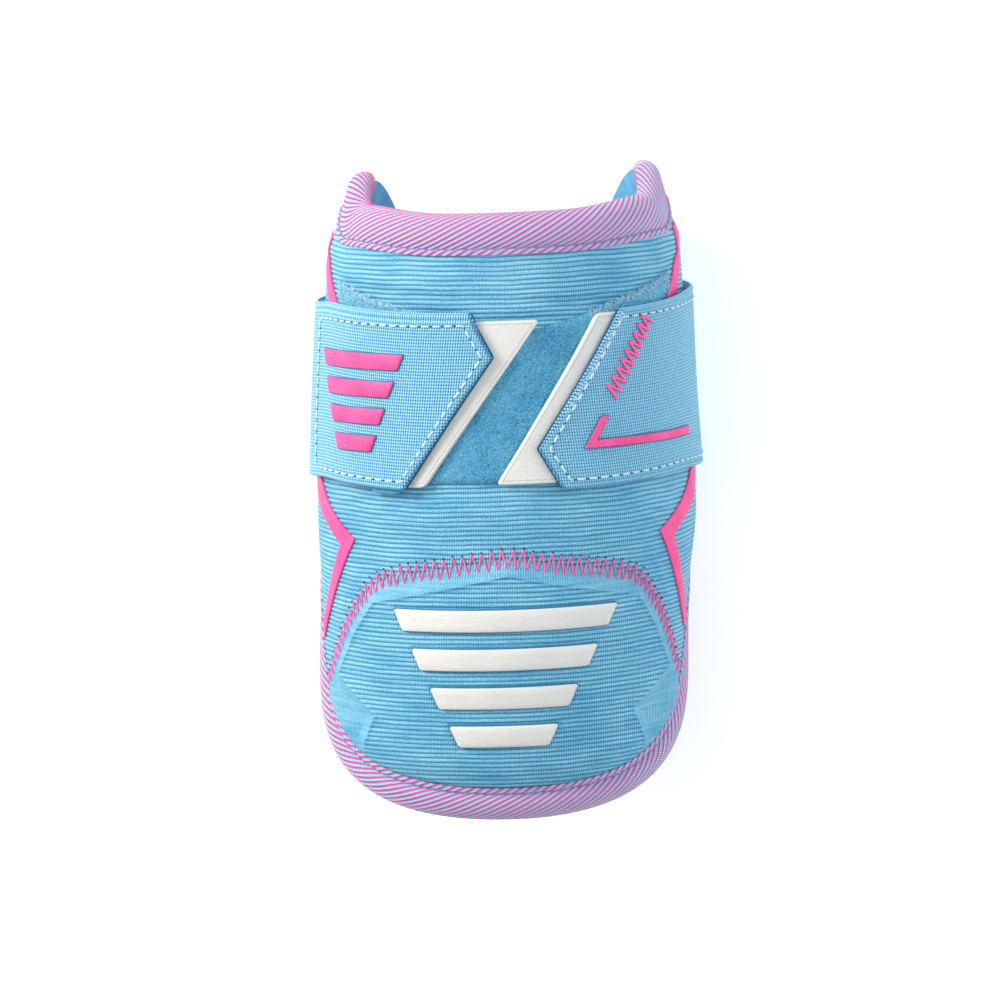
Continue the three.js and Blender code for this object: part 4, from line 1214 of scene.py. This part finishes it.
def trim_plates():
    """White tabs and bars, hook tape under the strap's ends, and pink film on the sides and strap."""
    on_strap = above_strap(STRAP_TRIM_GAP)
    for name, side in (("left", -1), ("right", 1)):
        tab = plate(f"pull_tab_{name}_moulding", *tab_edges(side), level(HOOK_LIFT), WHITE_TPU, **TAB_SHAPE)
        finish_piece(tab, "white_moulding", f"pull_tab_{name}")
        hook = plate(f"hook_pad_{name}_tape", *hook_edges(side), level(HOOK_LIFT), HOOK_NYLON, **HOOK_SHAPE)
        finish_piece(hook, "hook_tape", f"hook_pad_{name}")
        lean = STRIPE_LEAN[side]
        front, back = ([(side * (turn + lean * (rise > STRIPE_LEAN_RISE)), rise) for turn, rise in line]
                       for line in (SIDE_STRIPE_FRONT, SIDE_STRIPE_BACK))
        film = plate(f"side_stripe_{name}_film", front, back, on_wall, PINK_TPU, **STRIPE_SHAPE)
        finish_piece(film, "pink_film", f"side_stripe_{name}")
    for number, sizes in enumerate(CAP_BARS, 1):
        edges = bar_edges(0, CAP_BAR_HEIGHT, *sizes)
        bar = plate(f"cap_bar_{number}_moulding", *edges, level(CAP_CROWN_LIFT + BAR_SEAT_GAP), WHITE_TPU,
                    **CAP_BAR_SHAPE)
        finish_piece(bar, "white_moulding", f"cap_bar_{number}")
    for number, sizes in enumerate(STRAP_BARS, 1):
        edges = bar_edges(STRAP_BAR_TURN, STRAP_BAR_HEIGHT, *sizes)
        bar = plate(f"strap_bar_{number}_film", *edges, on_strap, PINK_TPU, **STRAP_TRIM_SHAPE)
        finish_piece(bar, "pink_film", f"strap_bar_{number}")
    line = plate("strap_stripe_film", STRAP_STRIPE_FRONT, STRAP_STRIPE_BACK, on_strap, PINK_TPU,
                 **STRAP_TRIM_SHAPE)
    finish_piece(line, "pink_film", "strap_stripe")


def arched(steps):
    """Height along a stitch as a share: even in its middle, dipped at its ends."""
    return 1 - (2 * steps - 1) ** 4


def straight_stitch(start, stop, seat, arch, count):
    """Path of one stitch between two places (turn, rise)."""
    steps = np.linspace(0, 1, count)
    turn, rise = (mix(a, b, steps) for a, b in zip(start, stop))
    return face(turn, rise, seat(turn, rise) + arch * arched(steps))


def stitches_along(line, seat, arch, length, gap, between=False):
    """Paths of single stitches along a line of (turn, rise) corners, or of the painted shade in the needle
    holes between them.
    """
    even, far = resample(np.asarray(line, float) * [ARC, 1], 0.2)
    count = max(1, int((far[-1] + gap) // (length + gap)))
    pitch = far[-1] / count
    steps = np.linspace(0, 1, 6)
    paths = []
    for i in range(count):
        at = i * pitch + (gap * (steps - 0.5) if between else gap / 2 + steps * (pitch - gap))
        turn, rise = np.interp(at, far, even[:, 0]) / ARC, np.interp(at, far, even[:, 1])
        paths.append(face(turn, rise, seat(turn, rise) + arch * arched(steps)))
    return paths


def strap_stitch_lines():
    """Sewing lines inside the edges of the strap's two ends."""
    inset = 1 - STITCH_INSET / STRAP_HALF
    lines = []
    for side in (-1, 1):
        ends = zip([-inset, STRAP_END_ACROSS[1], inset], np.array(STRAP_END_TURN) - END_STITCH_BACK[side])
        slant = [(STRAP_MEET_TURN - side * turn, -side * across) for across, turn in ends]
        edges = []
        for turn, across in (slant[0], slant[2]):
            edge = np.sign(across)
            far_across = edge * (1 - FAR_STITCH_INSET[edge] / STRAP_HALF)
            turns = np.linspace(turn, side * SEWN_TURN[side], 20)
            edges.append(list(zip(turns, np.linspace(across, far_across, 20))))
        line = edges[0][::-1] + slant[1:2] + edges[1] + edges[0][-1:]
        lines.append([(turn, float(strap_rise(turn, across))) for turn, across in line])
    return lines


def strap_sewing():
    """Stitches round the strap's two ends, and dark pieces of painted shade in the needle holes between
    them.
    """
    seat = above_strap(-STITCH_SINK)
    paths, holes = [], []
    for line in strap_stitch_lines():
        paths += stitches_along(line, seat, STITCH_ARCH, **STRAP_STITCH)
        holes += stitches_along(line, seat, HOLE_ARCH, **STRAP_STITCH, between=True)
    finish_piece(threads("strap_stitches", paths, STRAP_THREAD, SKY_THREAD), "elastic")
    finish_piece(threads("strap_needle_hole_shadows", holes, STRAP_HOLE, NEEDLE_HOLE_SHADOW), "elastic")


def tape_sewing():
    """Seam along the inner edge of each tape, its stitches dark with the painted shade of the groove they
    pull into.
    """
    for name, edge, leg, into, last in (("top", foam_top, TOP_BINDING_LEG, -1, TOP_BINDING_END_TURN),
                                        ("bottom", foam_bottom, BINDING_LEG, 1, BOTTOM_BINDING_END_TURN)):
        turns = np.linspace(-last + 2, last - 2, 400)
        step_turn, step_rise = step_from_edge(edge, turns, into)
        inset = leg - TAPE_LIP
        line = np.column_stack([turns + step_turn * inset, edge(turns) + step_rise * inset])
        paths = stitches_along(line, level(TAPE_STITCH_LIFT), TAPE_STITCH_ARCH, **TAPE_STITCH)
        finish_piece(threads(f"{name}_tape_stitches", paths, TAPE_SEAM_THREAD, SEAM_SHADE_THREAD), "twill_tape")


def strap_end_sewing():
    """Navy cord in each cut end of the strap, whipped over in navy, both dark enough to paint the shadow
    line where an end lies on its tab, and an overcast seam on the right end.
    """
    whipping, cords, overcast = [], [], []
    for side in (-1, 1):
        places = np.interp(np.linspace(0, 1, WHIPPING_COUNT), [0, 0.72, 1],
                           [-WHIPPED_ACROSS, STRAP_END_ACROSS[1], WHIPPED_ACROSS]) * -side
        turn = strap_end(places, side) - side * END_CORD_TURN
        cords.append(face(turn, strap_rise(turn, places), STRAP_FRONT_LIFT + END_CORD_LIFT))
        for place in places[::2]:
            turn = strap_end(place, side) + side * WHIPPED_TURNS
            whipping.append(face(turn, strap_rise(turn, place), STRAP_FACE_LIFT + WHIPPED_LIFTS))
    for place in np.linspace(*OVERCAST_ACROSS, OVERCAST_COUNT):
        reach = np.linspace(OVERCAST_START, rng.uniform(*OVERCAST_REACH), len(OVERCAST_LIFTS))
        turn = strap_end(-place, 1) + reach
        rise = strap_rise(turn, -place) - reach * rng.uniform(*OVERCAST_SLANT)
        overcast.append(face(turn, rise, STRAP_FACE_LIFT + OVERCAST_LIFTS))
    finish_piece(threads("strap_end_overcast", overcast, OVERCAST_THREAD, SKY_THREAD), "elastic")
    finish_piece(threads("strap_end_cord_shadows", cords, END_CORD, NAVY_EDGE_SHADOW_THREAD), "elastic")
    finish_piece(threads("strap_end_whipping", whipping, WHIPPING_THREAD, NAVY_EDGE_SHADOW_THREAD), "elastic")


def cap_sewing():
    """Zigzag seam over the cap's upper edge, with painted shade in the needle holes at its upper points."""
    fine = np.linspace(-CAP_END_TURN - ZIGZAG_OVERRUN, CAP_END_TURN + ZIGZAG_OVERRUN, 600)
    seam, far = resample(np.column_stack([fine * ARC, cap_seam(fine)]), 0.1)
    slope = unit(np.gradient(seam, axis=0))
    square = np.stack([-slope[:, 1], slope[:, 0]], -1)
    count = int(far[-1] / ZIGZAG_PITCH) * 2 + 1
    at = np.linspace(0, far[-1], count)
    sway = np.where(np.arange(count) % 2, 1.0, -1.0) * ZIGZAG_REACH
    sway += rng.uniform(-ZIGZAG_WANDER, ZIGZAG_WANDER, count)
    spots = [np.interp(at, far, seam[:, i]) + sway * np.interp(at, far, square[:, i]) for i in (0, 1)]
    spots = np.stack(spots, -1) / [ARC, 1]

    def ground(turn, rise):
        on_cap = smooth(cap_seam(turn) - rise, *ZIGZAG_STEP) * (np.abs(turn) < CAP_END_TURN)
        return mix(ZIGZAG_WALL_LIFT, cap_lift(turn, rise) - ZIGZAG_CAP_SINK, on_cap)

    paths = [straight_stitch(a, b, ground, STITCH_ARCH, 7) for a, b in zip(spots, spots[1:])]
    holes = [face(turn, rise + ZIGZAG_HOLE_RISES, ZIGZAG_HOLE_LIFTS) for turn, rise in spots[1::2]]
    finish_piece(threads("cap_zigzag", paths, ZIGZAG_THREAD, PINK_THREAD), "pink_film")
    finish_piece(threads("cap_needle_hole_shadows", holes, ZIGZAG_HOLE, NEEDLE_HOLE_SHADOW), "ribbed_cloth")


def strap_tack():
    """Thick zigzag tack on the strap's right end."""
    start, stop = np.array(TACK_START) * [ARC, 1], np.array(TACK_END) * [ARC, 1]
    way = (stop - start) / TACK_COUNT
    square = unit(np.array([way[1], -way[0]])) * TACK_WIDTH
    corners = [start]
    for i in range(TACK_COUNT):
        corners += [start + way * (i + TACK_SLANT) + square, start + way * (i + 1)]
    corners = np.array(corners) / [ARC, 1]
    seat = above_strap(TACK_LIFT)
    paths = [straight_stitch(a, b, seat, TACK_ARCH, 8) for a, b in zip(corners, corners[1:])]
    finish_piece(threads("strap_tack", paths, TACK_THREAD, PINK_THREAD), "pink_film")


body_wall()
inner_lining()
binding("top_tape", foam_top, TOP_BINDING_LEG,
        np.linspace(-TOP_BINDING_END_TURN, TOP_BINDING_END_TURN, TOP_TAPE_COLUMNS), -1,
        TOP_ROLL, "top_binding")
binding("bottom_tape", foam_bottom, BINDING_LEG,
        np.linspace(-BOTTOM_BINDING_END_TURN, BOTTOM_BINDING_END_TURN, BOTTOM_TAPE_COLUMNS), 1,
        LOW_ROLL, "bottom_binding")
cap_shell()
loop_panel()
trim_plates()
rim_shadow_lines()
strap_band()
strap_sewing()
tape_sewing()
strap_end_sewing()
cap_sewing()
strap_tack()

# Camera at the photograph's angle: 8 degrees above square to the front, with the guard's top edge up
toward = Vector((0, -math.sin(VIEW_TILT), -math.cos(VIEW_TILT)))
upward = Vector((0, math.cos(VIEW_TILT), -math.sin(VIEW_TILT)))
camera_data = bpy.data.cameras.new("camera")
camera_data.sensor_width = 36.0
camera_data.lens = VIEW_LENS
camera_data.clip_end = 20.0
camera = bpy.data.objects.new("camera", camera_data)
camera_axes = Matrix((Vector((1, 0, 0)), upward, -toward)).transposed().to_4x4()
camera.matrix_world = Matrix.Translation(VIEW_TARGET - toward * VIEW_DISTANCE) @ camera_axes
bpy.context.scene.collection.objects.link(camera)
bpy.context.scene.camera = camera


def softbox(name, place, size, power, tint=(1.0, 1.0, 1.0)):
    """Square lamp that faces the guard."""
    lamp = bpy.data.lights.new(name, "AREA")
    lamp.shape = "SQUARE"
    lamp.size = size
    lamp.energy = power
    lamp.color = tint
    holder = bpy.data.objects.new(name, lamp)
    holder.location = place
    holder.rotation_mode = "QUATERNION"
    holder.rotation_quaternion = (LAMP_TARGET - Vector(place)).to_track_quat("-Z", "Y")
    bpy.context.scene.collection.objects.link(holder)


softbox("key_left", (-1.35, 0.8, 0.64), 0.7, 32.0, (1.0, 0.94, 0.86))
softbox("fill_right", (1.3, 0.2, 0.9), 1.2, 10.3, (0.84, 0.96, 1.0))
softbox("fill_above", (0.0, 0.2, 1.8), 1.4, 7.0)

world = bpy.data.worlds.new("studio")
world.use_nodes = True
world.node_tree.nodes["Background"].inputs["Color"].default_value = (1.0, 1.0, 1.0, 1.0)
world.node_tree.nodes["Background"].inputs["Strength"].default_value = 0.45
bpy.context.scene.world = world
bpy.context.scene.view_settings.view_transform = "Standard"

floor_mesh = bpy.data.meshes.new("floor")
floor_corners = [(x * FLOOR_HALF, y * FLOOR_HALF, 0) for x, y in ((-1, -1), (1, -1), (1, 1), (-1, 1))]
floor_mesh.from_pydata(floor_corners, [], [(0, 1, 2, 3)])
floor_mesh.materials.append(studio_floor())
floor = bpy.data.objects.new("floor", floor_mesh)
floor.location.z = -FLOOR_DROP
bpy.context.scene.collection.objects.link(floor)
